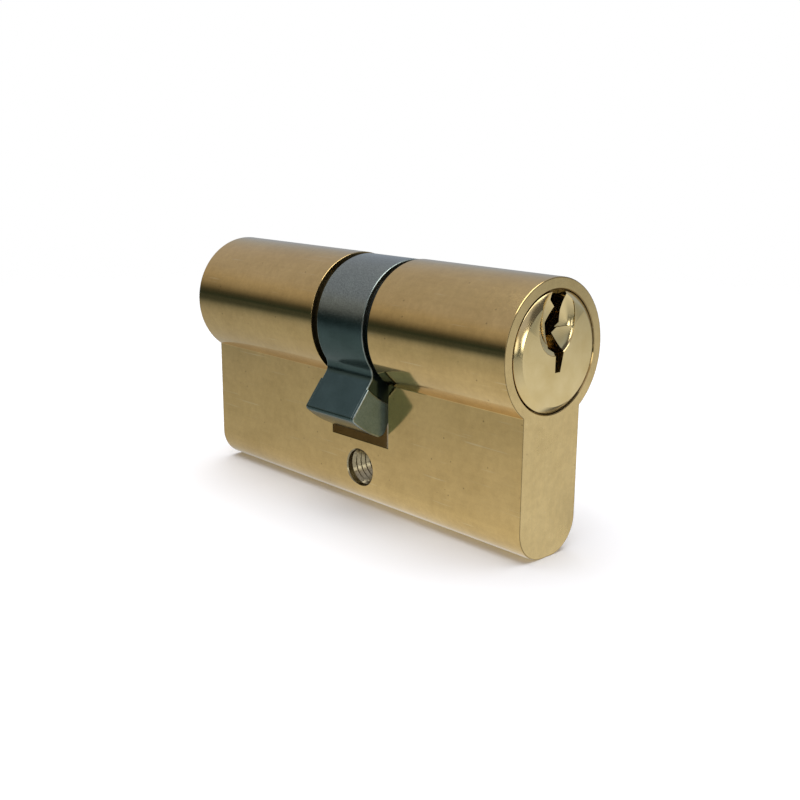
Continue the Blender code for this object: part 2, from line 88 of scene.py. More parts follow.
# How far from an edge a rounded corner's faces can lie, as a share of its radius.
EDGE_REACH = 1.5

Point = tuple[float, float]
Place = tuple[float, float, float]


class Side(Enum):
    """The two halves of the cylinder. Each is modelled along its own +X and turned into place."""

    OUTSIDE = "outside"
    INSIDE = "inside"

    @property
    def turn(self) -> Matrix:
        """The turn about Z that brings this half into place."""
        return Matrix.Rotation(0.0 if self is Side.OUTSIDE else math.pi, 4, "Z")


class Axis(Enum):
    """The direction that a turned solid or a pattern runs along."""

    X = "X"
    Y = "Y"
    Z = "Z"

    @property
    def from_z(self) -> Matrix:
        """The turn that lays a solid made along Z along this direction.

        Returns:
            The turn as a matrix.
        """
        turns = {
            Axis.X: Matrix.Rotation(math.pi / 2, 4, "Y"),
            Axis.Y: Matrix.Rotation(-math.pi / 2, 4, "X"),
            Axis.Z: Matrix.Identity(4),
        }
        return turns[self]


class Slot(Enum):
    """The record's material slots."""

    HOUSING = "satin_brass"
    PLUG = "plug_brass"
    CAM = "blackened_steel"
    CLIP = "clip_steel"
    CLUTCH = "clutch_steel"
    KEY_PIN = "pin_brass"
    DRIVER = "driver_steel"
    SPRING = "spring_steel"
    CAP = "cap_brass"


@dataclass(frozen=True)
class Datum:
    """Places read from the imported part, in millimetres."""

    axis_z: float
    outside_end: float
    inside_end: float

    @classmethod
    def of_part(cls, barrel_radius: float) -> "Datum":
        """Reads the axis height and the two ends from the housing's box.

        Args:
            barrel_radius: Radius of the barrel, whose top is the highest point.

        Returns:
            The shared places.
        """
        low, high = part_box("housing")
        return cls(high.z / MM - barrel_radius, high.x / MM, -low.x / MM)

    def length(self, side: Side) -> float:
        """The length of one half from the middle."""
        return self.outside_end if side is Side.OUTSIDE else self.inside_end

    @property
    def to_part(self) -> Matrix:
        """From the cylinder's frame in millimetres to the part's frame in metres."""
        return Matrix.Scale(MM, 4) @ Matrix.Translation((0.0, 0.0, self.axis_z))


# Outlines


def arc(centre: Point, radius: float, start: float, end: float, steps: int) -> list[Point]:
    """Points of an arc, with angles measured from straight down towards +Y.

    Args:
        centre: Centre as (Y, Z).
        radius: Radius of the arc.
        start: First angle in radians.
        end: Last angle in radians.
        steps: Number of chords.

    Returns:
        The points from start to end.
    """
    angles = [start + (end - start) * i / steps for i in range(steps + 1)]
    return [(centre[0] + radius * math.sin(a), centre[1] - radius * math.cos(a)) for a in angles]


def rotated(points: Sequence[Point], angle: float) -> list[Point]:
    """Turns points about the axis, from straight down towards +Y."""
    c, s = math.cos(angle), math.sin(angle)
    return [(y * c - z * s, y * s + z * c) for y, z in points]


def mirrored(points: Sequence[Point]) -> list[Point]:
    """The same points on the other side of the middle."""
    return [(-y, z) for y, z in points]


def corner_arc(before: Point, corner: Point, after: Point, radius: float, steps: int) -> list[
    Point
]:
    """The arc that replaces a corner between two straight lines.

    Args:
        before: A point on the line that arrives.
        corner: The sharp corner.
        after: A point on the line that leaves.
        radius: Radius of the arc.
        steps: Number of chords.

    Returns:
        The points of the arc.
    """
    at = Vector(corner)
    back = (Vector(before) - at).normalized()
    onward = (Vector(after) - at).normalized()
    half = back.angle(onward) / 2
    centre = at + (back + onward).normalized() * (radius / math.sin(half))
    first = at + back * (radius / math.tan(half)) - centre
    last = at + onward * (radius / math.tan(half)) - centre
    sweep = first.angle_signed(last)
    turned = [centre + Matrix.Rotation(-sweep * i / steps, 2) @ first for i in range(steps + 1)]
    return [(p.x, p.y) for p in turned]


# Solids


def object_of(name: str, mesh: bpy.types.Mesh) -> bpy.types.Object:
    """Puts a mesh into the scene as an object at the origin.

    Args:
        name: Name of the object.
        mesh: Its mesh.

    Returns:
        The object.
    """
    made = bpy.data.objects.new(name, mesh)
    bpy.context.scene.collection.objects.link(made)
    return made


def baked(source: bpy.types.Object, name: str) -> bpy.types.Mesh:
    """Turns an object with its modifiers into plain mesh data, and removes the object.

    Args:
        source: The object to bake.
        name: Name of the new mesh data.

    Returns:
        The mesh with every modifier applied.
    """
    graph = bpy.context.evaluated_depsgraph_get()
    mesh = bpy.data.meshes.new_from_object(source.evaluated_get(graph), depsgraph=graph)
    mesh.name = name
    bpy.data.objects.remove(source, do_unlink=True)
    return mesh


class Solid:
    """A closed mesh that is being made, in millimetres in the cylinder's frame."""

    def __init__(self, bm: bmesh.types.BMesh) -> None:
        """Keeps the mesh and turns its faces outwards.

        Args:
            bm: The mesh, which this solid now owns.
        """
        bmesh.ops.remove_doubles(bm, verts=bm.verts, dist=WELD)
        bmesh.ops.recalc_face_normals(bm, faces=bm.faces)
        self.bm = bm

    @classmethod
    def prism(cls, outline: Sequence[Point], start: float, end: float) -> "Solid":
        """A flat outline of (Y, Z) points as a solid between two places along X.

        Args:
            outline: The closed outline.
            start: Lower end along X.
            end: Upper end along X.

        Returns:
            The solid.
        """
        bm = bmesh.new()
        low = [bm.verts.new((start, y, z)) for y, z in outline]
        high = [bm.verts.new((end, y, z)) for y, z in outline]
        bm.faces.new(low)
        bm.faces.new(high[::-1])
        for i in range(len(outline)):
            bm.faces.new((low[i - 1], high[i - 1], high[i], low[i]))
        return cls(bm)

    @classmethod
    def lathe(cls, profile: Sequence[Point], steps: int, along: Axis = Axis.Z) -> "Solid":
        """A turned solid.

        Args:
            profile: (radius, height) from the top down, starting and ending on the axis.
            steps: Number of sides.
            along: The axis of the turned solid.

        Returns:
            The solid.
        """
        bm = bmesh.new()
        rings = []
        for radius, height in profile:
            if radius < WELD:
                rings.append([bm.verts.new((0.0, 0.0, height))] * steps)
                continue
            angles = [2 * math.pi * i / steps for i in range(steps)]
            rings.append(
                [bm.verts.new((radius * math.cos(a), radius * math.sin(a), height)) for a in angles]
            )
        for upper, lower in zip(rings, rings[1:]):
            for i in range(steps):
                corners = (upper[i - 1], lower[i - 1], lower[i], upper[i])
                bm.faces.new(list(dict.fromkeys(corners)))
        bmesh.ops.transform(bm, matrix=along.from_z, verts=bm.verts)
        return cls(bm)

    @classmethod
    def box(cls, low: Place, high: Place) -> "Solid":
        """A rectangular solid between two corners.

        Args:
            low: The corner with the least values.
            high: The corner with the greatest values.

        Returns:
            The solid.
        """
        size = Matrix.Diagonal((*(Vector(high) - Vector(low)), 1.0))
        middle = Matrix.Translation((Vector(low) + Vector(high)) / 2)
        bm = bmesh.new()
        bmesh.ops.create_cube(bm, size=1.0, matrix=middle @ size)
        return cls(bm)

    @classmethod
    def ellipsoid(cls, centre: Place, radii: Place, steps: int) -> "Solid":
        """A solid ellipsoid with its poles along Z.

        Args:
            centre: Its middle.
            radii: Half its size along each direction.
            steps: Number of sides round it.

        Returns:
            The solid.
        """
        bm = bmesh.new()
        shape = Matrix.Translation(centre) @ Matrix.Diagonal((*radii, 1.0))
        bmesh.ops.create_uvsphere(
            bm, u_segments=steps, v_segments=steps // 2, radius=1.0, matrix=shape
        )
        return cls(bm)

    def moved(self, matrix: Matrix) -> "Solid":
        """Moves this solid and hands it back."""
        bmesh.ops.transform(self.bm, matrix=matrix, verts=self.bm.verts)
        return self

    def rounded(self, width: float, segments: int = 2, least: float = math.radians(50.0)) -> "Solid":
        """Rounds the outer edges that are sharper than an angle.

        Args:
            width: How far the rounding reaches from the edge.
            segments: Number of facets across it.
            least: Smallest angle between faces that counts as an edge.

        Returns:
            This solid.
        """
        self.bm.normal_update()
        edges = [
            e
            for e in self.bm.edges
            if e.is_manifold and e.is_convex and e.calc_face_angle() > least
        ]
        bmesh.ops.bevel(
            self.bm,
            geom=edges,
            offset=width,
            offset_type="OFFSET",
            segments=segments,
            profile=0.5,
            affect="EDGES",
            clamp_overlap=False,
        )
        return self

    def mesh(self, name: str) -> bpy.types.Mesh:
        """Hands the mesh data over and ends this solid.

        Args:
            name: Name of the mesh.

        Returns:
            The mesh.
        """
        made = bpy.data.meshes.new(name)
        self.bm.to_mesh(made)
        self.bm.free()
        return made

    def combined(self, others: Sequence["Solid"], operation: str) -> "Solid":
        """Cuts other solids from this one, or joins them to it.

        Args:
            others: The solids to use up.
            operation: The Boolean operation.

        Returns:
            The new solid.
        """
        base = object_of("base", self.mesh("base"))
        tools = [object_of("tool", other.mesh("tool")) for other in others]
        for tool in tools:
            boolean = base.modifiers.new("boolean", "BOOLEAN")
            boolean.operation = operation
            boolean.solver = "EXACT"
            boolean.object = tool
        mesh = baked(base, "combined")
        for tool in tools:
            bpy.data.objects.remove(tool, do_unlink=True)
        bm = bmesh.new()
        bm.from_mesh(mesh)
        bpy.data.meshes.remove(mesh)
        return Solid(bm)

    def cut(self, *others: "Solid") -> "Solid":
        """This solid without the others."""
        return self.combined(others, "DIFFERENCE")

    def joined(self, *others: "Solid") -> "Solid":
        """This solid with the others."""
        return self.combined(others, "UNION")

    def piece(
        self,
        name: str,
        materials: Sequence[bpy.types.Material],
        datum: Datum,
        pick: Callable[[Vector, Vector], int] | None = None,
    ) -> bpy.types.Object:
        """Turns the solid into a finished object with even shading.

        Args:
            name: Name of the piece.
            materials: Its materials, in slot order.
            datum: The places of the part.
            pick: Gives the slot of a face from its centre and normal in the cylinder's frame.

        Returns:
            The piece, at the origin, with its place in its mesh.
        """
        if pick:
            self.bm.normal_update()
            for face in self.bm.faces:
                face.material_index = pick(face.calc_center_median(), face.normal)
        self.moved(datum.to_part)
        mesh = self.mesh(name)
        for material in materials:
            mesh.materials.append(material)
        mesh.shade_smooth()
        mesh.set_sharp_from_angle(angle=math.radians(35.0))
        source = object_of(name, mesh)
        even = source.modifiers.new("even", "WEIGHTED_NORMAL")
        even.keep_sharp = True
        even.weight = 90
        return object_of(name, baked(source, name))


# Node trees


def linear(code: str) -> tuple[float, float, float, float]:
    """Turns an sRGB hex value into a linear colour.

    Args:
        code: Six hex digits after a hash sign.

    Returns:
        Linear red, green and blue, with full alpha.
    """
    shares = [int(code[i : i + 2], 16) / 255 for i in (1, 3, 5)]
    red, green, blue = (s / 12.92 if s <= 0.04045 else ((s + 0.055) / 1.055) ** 2.4 for s in shares)
    return red, green, blue, 1.0


def add_node(
    tree: bpy.types.NodeTree, kind: str, inputs: dict | None = None, **settings: object
) -> bpy.types.Node:
    """Adds a node with its settings and links.

    Args:
        tree: The node tree.
        kind: The node's type.
        inputs: Input name or number to a value or to the output socket that feeds it.
        settings: Properties of the node itself.

    Returns:
        The node.
    """
    made = tree.nodes.new(kind)
    for name, value in settings.items():
        setattr(made, name, value)
    for key, value in (inputs or {}).items():
        if isinstance(value, bpy.types.NodeSocket):
            tree.links.new(value, made.inputs[key])
        else:
            made.inputs[key].default_value = value
    return made


def add_ramp(
    tree: bpy.types.NodeTree, value: bpy.types.NodeSocket, stops: Sequence[tuple[float, str]]
) -> bpy.types.NodeSocket:
    """Adds a colour ramp.

    Args:
        tree: The node tree.
        value: The output that drives it.
        stops: Place and sRGB hex colour of each stop, in rising order.

    Returns:
        Its colour output.
    """
    ramp = add_node(tree, "ShaderNodeValToRGB", {"Fac": value})
    elements = ramp.color_ramp.elements
    while len(elements) < len(stops):
        elements.new(1.0)
    for element, (place, _) in zip(elements, stops):
        element.position = place
    for element, (_, code) in zip(elements, stops):
        element.color = linear(code)
    return ramp.outputs["Color"]


def new_material(name: str) -> tuple[bpy.types.Material, bpy.types.NodeTree, bpy.types.Node]:
    """A new material with its tree and its shader.

    Args:
        name: Name of the material.

    Returns:
        The material, its node tree and its Principled shader.
    """
    material = bpy.data.materials.new(name)
    material.use_nodes = True
    tree = material.node_tree
    return material, tree, tree.nodes["Principled BSDF"]


def roughen(
    tree: bpy.types.NodeTree,
    shader: bpy.types.Node,
    cloud: bpy.types.NodeSocket,
    low: float,
    high: float,
) -> None:
    """Lets a cloudy pattern vary the roughness of a shader.

    Args:
        tree: The node tree.
        shader: The shader.
        cloud: The pattern, about a half in its middle.
        low: The roughness where the pattern is low.
        high: The roughness where it is high.
    """
    rough = add_node(
        tree,
        "ShaderNodeMapRange",
        {"Value": cloud, "From Min": 0.3, "From Max": 0.7, "To Min": low, "To Max": high},
    )
    tree.links.new(rough.outputs["Result"], shader.inputs["Roughness"])


def stretched(tree: bpy.types.NodeTree, axis_z: float, per_mm: Place) -> bpy.types.NodeSocket:
    """Object coordinates centred on the cylinder's axis, with a scale along each direction.

    Args:
        tree: The node tree.
        axis_z: Height of the axis in millimetres.
        per_mm: Pattern units for each millimetre along X, Y and Z.

    Returns:
        The vector output.
    """
    place = add_node(tree, "ShaderNodeTexCoord").outputs["Object"]
    scale = tuple(share / MM for share in per_mm)
    shift = (0.0, 0.0, -axis_z * per_mm[2])
    mapping = add_node(
        tree, "ShaderNodeMapping", {"Vector": place, "Location": shift, "Scale": scale}
    )
    return mapping.outputs["Vector"]


@dataclass(frozen=True)
class BrassFinish:
    """Brass with fine parallel lines from its making, and a thin uneven tarnish over them."""

    name: str
    clean: str
    tarnished: str
    roughness: float
    lines_per_mm: Place
    line_depth: float
    tarnish_size: float = 7.0
    tarnish_share: float = 0.55
    pitting: float = 0.5
    wave_height: float = 0.006
    waves_per_mm: float = 0.45
    blotches_per_mm: float = 1.1
    scratches_per_mm: tuple[float, float, float] = (0.12, 3.1, 4.3)
    scratch_colour: str = "#F0E2BC"
    pit_cells_per_mm: float = 0.55
    pit_colour: str = "#4A3A22"
    smoothest: float = 0.8
    roughest: float = 1.35

    def build(self, axis_z: float) -> bpy.types.Material:
        """Makes the material.

        Args:
            axis_z: Height of the cylinder's axis in millimetres.

        Returns:
            The material.
        """
        material, tree, shader = new_material(self.name)
        even = stretched(tree, axis_z, (1.0, 1.0, 1.0))
        along = stretched(tree, axis_z, self.lines_per_mm)

        # Cloudy tarnish a few millimetres across, drawn out a little by the lines.
        cloud = add_node(
            tree,
            "ShaderNodeTexNoise",
            {"Vector": even, "Scale": 1 / self.tarnish_size, "Detail": 5.0, "Roughness": 0.62},
        )
        lines = add_node(
            tree, "ShaderNodeTexNoise", {
                "Vector": along, "Scale": 1.0, "Detail": 3.0, "Roughness": 0.7
            }
        )
        amount = add_node(
            tree,
            "ShaderNodeMapRange",
            {
                "Value": cloud.outputs["Fac"],
                "From Min": 0.38,
                "From Max": 0.72,
                "To Max": self.tarnish_share,
            },
        )
        streak = add_node(
            tree,
            "ShaderNodeMapRange",
            {
                "Value": lines.outputs["Fac"],
                "From Min": 0.35,
                "From Max": 0.65,
                "To Min": 0.975,
                "To Max": 1.015,
            },
        )
        colour = add_node(
            tree,
            "ShaderNodeMix",
            {
                "Factor": amount.outputs["Result"],
                6: linear(self.clean),
                7: linear(self.tarnished),
            },
            data_type="RGBA",
        )
        shaded = add_node(
            tree,
            "ShaderNodeVectorMath",
            {0: colour.outputs[2], "Scale": streak.outputs["Result"]},
            operation="SCALE",
        )

        # Handling leaves blotches under a millimetre across, and a few long scratches along X.
        blotch = add_node(
            tree, "ShaderNodeTexNoise", {
                "Vector": even, "Scale": self.blotches_per_mm, "Detail": 5.0, "Roughness": 0.75
            }
        )
        tone = add_node(
            tree,
            "ShaderNodeMapRange",
            {
                "Value": blotch.outputs["Fac"],
                "From Min": 0.35,
                "From Max": 0.65,
                "To Min": 0.93,
                "To Max": 1.05,
            },
        )
        toned = add_node(
            tree,
            "ShaderNodeVectorMath",
            {0: shaded.outputs["Vector"], "Scale": tone.outputs["Result"]},
            operation="SCALE",
        )
        scratches = add_node(
            tree,
            "ShaderNodeTexNoise",
            {"Vector": stretched(tree, axis_z, self.scratches_per_mm), "Scale": 1.0, "Detail": 2.0},
        )
        scratched = add_node(
            tree,
            "ShaderNodeMapRange",
            {"Value": scratches.outputs["Fac"], "From Min": 0.69, "From Max": 0.74, "To Max": 0.3},
        )
        layer_colour = add_node(
            tree,
            "ShaderNodeMix",
            {
                "Factor": scratched.outputs["Result"],
                6: toned.outputs["Vector"],
                7: linear(self.scratch_colour),
            },
            data_type="RGBA",
        )

        # Pits about a fifth of a millimetre across, one to every few square millimetres at most.
        cells = add_node(
            tree, "ShaderNodeTexVoronoi", {"Vector": even, "Scale": self.pit_cells_per_mm}
        )
        pits = add_node(
            tree,
            "ShaderNodeMapRange",
            {
                "Value": cells.outputs["Distance"],
                "From Min": 0.035,
                "From Max": 0.075,
                "To Min": 1.0,
                "To Max": 0.0,
            },
        )
        pit_share = add_node(
            tree,
            "ShaderNodeMath",
            {0: pits.outputs["Result"], 1: self.pitting},
            operation="MULTIPLY",
        )
        pitted = add_node(
            tree,
            "ShaderNodeMix",
            {"Factor": pit_share.outputs["Value"], 6: layer_colour.outputs[2], 7: linear(self.pit_colour)},
            data_type="RGBA",
        )
        tree.links.new(pitted.outputs[2], shader.inputs["Base Color"])

        low, high = self.roughness * self.smoothest, self.roughness * self.roughest
        roughen(tree, shader, cloud.outputs["Fac"], low, high)

        # The flats and the barrel are not quite true, so reflections have a soft, uneven edge.
        wave = add_node(
            tree, "ShaderNodeTexNoise", {"Vector": even, "Scale": self.waves_per_mm, "Detail": 1.0}
        )
        broad = add_node(
            tree,
            "ShaderNodeBump",
            {"Height": wave.outputs["Fac"], "Strength": 1.0, "Distance": self.wave_height * MM},
        )
        fine = add_node(
            tree,
            "ShaderNodeBump",
            {
                "Height": lines.outputs["Fac"],
                "Strength": 1.0,
                "Distance": self.line_depth * MM,
                "Normal": broad.outputs["Normal"],
            },
        )
        tree.links.new(fine.outputs["Normal"], shader.inputs["Normal"])
        shader.inputs["Metallic"].default_value = 1.0
        return material


@dataclass(frozen=True)
class TurnedFinish:
    """Metal turned on a lathe: fine rings round its axis, and a clean bright colour."""

    name: str
    bright: str
    dull: str
    roughness: float
    ring_spacing: float
    ring_depth: float
    along: Axis = Axis.X
    clouds_per_mm: float = 0.35
    smoothest: float = 0.8
    roughest: float = 1.3

    def build(self, axis_z: float) -> bpy.types.Material:
        """Makes the material.

        Args:
            axis_z: Height of the axis that the rings run round, in millimetres.

        Returns:
            The material.
        """
        material, tree, shader = new_material(self.name)
        even = stretched(tree, axis_z, (1.0, 1.0, 1.0))
        rings = add_node(
            tree,
            "ShaderNodeTexWave",
            {
                "Vector": even,
                "Scale": WAVE_PERIOD / self.ring_spacing,
                "Distortion": 0.6,
                "Detail": 2.0,
                "Detail Scale": 0.3,
            },
            wave_type="RINGS",
            rings_direction=self.along.value,
        )
        cloud = add_node(
            tree, "ShaderNodeTexNoise", {"Vector": even, "Scale": self.clouds_per_mm, "Detail": 4.0}
        )
        share = add_node(
            tree,
            "ShaderNodeMapRange",
            {"Value": cloud.outputs["Fac"], "From Min": 0.35, "From Max": 0.75},
        )
        colour = add_node(
            tree,
            "ShaderNodeMix",
            {"Factor": share.outputs["Result"], 6: linear(self.bright), 7: linear(self.dull)},
            data_type="RGBA",
        )
        tree.links.new(colour.outputs[2], shader.inputs["Base Color"])
        low, high = self.roughness * self.smoothest, self.roughness * self.roughest
        roughen(tree, shader, cloud.outputs["Fac"], low, high)
        bump = add_node(
            tree,
            "ShaderNodeBump",
            {"Height": rings.outputs["Fac"], "Strength": 1.0, "Distance": self.ring_depth * MM},
        )
        tree.links.new(bump.outputs["Normal"], shader.inputs["Normal"])
        shader.inputs["Metallic"].default_value = 1.0
        return material


@dataclass(frozen=True)
class GrainFinish:
    """Metal with a fine even grain, from sintering, tumbling, pressing or drawing."""

    name: str
    light: str
    dark: str
    roughness: float
    grain_size: float
    grain_depth: float
    cloud_size: float = 3.0
    metallic: float = 1.0
    # A colour painted over the top of the piece as light from above, fading in between two heights
    # over the axis, in millimetres.
    painted_top_light: str | None = None
    top_light_from: float = 1.2
    top_light_to: float = 2.6
    smoothest: float = 0.85
    roughest: float = 1.2

    def build(self, axis_z: float) -> bpy.types.Material:
        """Makes the material.

        Args:
            axis_z: Height of the cylinder's axis in millimetres.

        Returns:
            The material.
        """
        material, tree, shader = new_material(self.name)
        even = stretched(tree, axis_z, (1.0, 1.0, 1.0))
        grain = add_node(
            tree, "ShaderNodeTexNoise", {
                "Vector": even, "Scale": 1 / self.grain_size, "Detail": 2.0, "Roughness": 0.6
            }
        )
        cloud = add_node(
            tree, "ShaderNodeTexNoise", {
                "Vector": even, "Scale": 1 / self.cloud_size, "Detail": 4.0
            }
        )
        both = add_node(
            tree,
            "ShaderNodeMath",
            {0: grain.outputs["Fac"], 1: cloud.outputs["Fac"]},
            operation="ADD",
        )
        share = add_node(
            tree, "ShaderNodeMapRange", {
                "Value": both.outputs["Value"], "From Min": 0.75, "From Max": 1.25
            }
        )
        colour = add_node(
            tree,
            "ShaderNodeMix",
            {"Factor": share.outputs["Result"], 6: linear(self.dark), 7: linear(self.light)},
            data_type="RGBA",
        )
        shown = self.paint_top_light(tree, even, grain.outputs["Fac"], colour.outputs[2])
        tree.links.new(shown, shader.inputs["Base Color"])
        low, high = self.roughness * self.smoothest, self.roughness * self.roughest
        roughen(tree, shader, cloud.outputs["Fac"], low, high)
        bump = add_node(
            tree,
            "ShaderNodeBump",
            {"Height": grain.outputs["Fac"], "Strength": 1.0, "Distance": self.grain_depth * MM},
        )
        tree.links.new(bump.outputs["Normal"], shader.inputs["Normal"])
        shader.inputs["Metallic"].default_value = self.metallic
        return material

    def paint_top_light(
        self,
        tree: bpy.types.NodeTree,
        place: bpy.types.NodeSocket,
        grain: bpy.types.NodeSocket,
        colour: bpy.types.NodeSocket,
    ) -> bpy.types.NodeSocket:
        """Paints a lighter colour over the top of the piece: painted light from above.

        Args:
            tree: The node tree.
            place: Coordinates in millimetres from the axis.
            grain: The grain, which breaks the border up.
            colour: The colour below.

        Returns:
            The colour with the painted top light, or the same colour where there is none.
        """
        if self.painted_top_light is None:
            return colour
        height = add_node(tree, "ShaderNodeSeparateXYZ", {"Vector": place}).outputs["Z"]
        broken = add_node(tree, "ShaderNodeMath", {0: height, 1: grain}, operation="ADD")
        share = add_node(
            tree,
            "ShaderNodeMapRange",
            {
                "Value": broken.outputs["Value"],
                "From Min": self.top_light_from,
                "From Max": self.top_light_to,
            },
            interpolation_type="SMOOTHSTEP",
        )
        speckle = add_node(
            tree,
            "ShaderNodeMapRange",
            {"Value": grain, "From Min": 0.35, "From Max": 0.65, "To Min": 0.72, "To Max": 1.15},
        )
        # The painted top light, speckled by the grain.
        layer_colour = add_node(
            tree,
            "ShaderNodeVectorMath",
            {0: linear(self.painted_top_light)[:3], "Scale": speckle.outputs["Result"]},
            operation="SCALE",
        )
        mixed = add_node(
            tree,
            "ShaderNodeMix",
            {"Factor": share.outputs["Result"], 6: colour, 7: layer_colour.outputs["Vector"]},
            data_type="RGBA",
        )
        return mixed.outputs[2]


class Workshop:
    """Every finish of the cylinder, each made once."""

    def __init__(self, axis_z: float) -> None:
        """Makes the materials.

        Args:
            axis_z: Height of the cylinder's axis in millimetres.
        """
        # Extruded brass, lightly polished: faint lines along X and soft mirror-like reflections.
        self.extruded = BrassFinish(
            "extruded_brass", "#DEBF80", "#C6A76A", 0.1, (0.09, 2.0, 2.0), 0.0004
        ).build(axis_z)
        # Milled brass on the ends: brighter than the flanks, with fine cutter lines up and down.
        self.milled = BrassFinish(
            "milled_brass", "#E0C78E", "#D0B67C", 0.22, (2.0, 4.0, 0.12), 0.0012, pitting=0.25
        ).build(axis_z)
        # Sawn and bored brass inside the slot and bores: rougher than the flanks, and darker and
        # browner as painted shade inside these recesses.
        self.sawn_and_shaded = BrassFinish(
            "sawn_brass_painted_shade", "#A38D60", "#6E5C3C", 0.28, (3.0, 0.4, 3.0), 0.003, pitting=0.6
        ).build(axis_z)
        # The wide sides of the tongue, in a lighter, less metallic copy of the blackening: painted
        # light standing in for the brighter light these sides show.
        self.side_lit_black = GrainFinish(
            "blackened_steel_painted_side_light", "#869A92", "#70847C", 0.34, 0.2, 0.002, metallic=0.75
        ).build(axis_z)
        # The edges of the cam, in a light grey: a painted highlight along them.
        self.edge_highlight = GrainFinish("steel_painted_edge_highlight", "#AEB8B0", "#7E8C86", 0.3, 0.2, 0.002).build(
            axis_z
        )
        # Tapped brass in the fixing hole: grey from swarf and oil.
        self.tapped = GrainFinish("tapped_brass", "#C2B693", "#8F8468", 0.22, 0.3, 0.004).build(
            axis_z
        )
        # Turned brass of the plugs: the brightest brass, with rings from facing on the lathe.
        self.turned = TurnedFinish("turned_brass", "#EBD6A0", "#E0C88C", 0.17, 0.22, 0.0006).build(
            axis_z
        )
        # Blackened sintered steel of the cam: blue-grey with a fine grain, and a lighter top that is
        # painted light from above.
        self.blackened = GrainFinish(
            "blackened_sintered_steel",
            "#4E625F",
            "#40534F",
            0.2,
            0.16,
            0.003,
            metallic=0.95,
            painted_top_light="#8A928B",
        ).build(axis_z)
        # Spring steel of the snap rings, blue-black from hardening.
        self.clip = GrainFinish("hardened_spring_steel", "#6E7072", "#4E5052", 0.34, 0.3, 0.004).build(
            axis_z
        )
        # Tumbled steel of the clutch.
        self.clutch = GrainFinish("tumbled_steel", "#A3A39E", "#7E7E7A", 0.32, 0.25, 0.006).build(
            axis_z
        )
        # Turned pins: small bright pieces with a fine even grain.
        self.key_pin = GrainFinish("turned_pin_brass", "#E8CF92", "#D6B878", 0.2, 0.12, 0.002).build(
            axis_z
        )
        self.driver = GrainFinish("turned_pin_steel", "#C9C9C4", "#AFAFAA", 0.2, 0.12, 0.002).build(
            axis_z
        )
        # Drawn spring wire, bright with a faint oxide.
        self.wire = GrainFinish("drawn_spring_wire", "#C4C2BC", "#A19F99", 0.26, 0.1, 0.001).build(
            axis_z
        )
        # Pressed brass of the chamber caps, rubbed flush with the web.
        self.cap = GrainFinish("pressed_brass", "#D2AE6C", "#B49052", 0.3, 0.2, 0.004).build(axis_z)


# Pieces


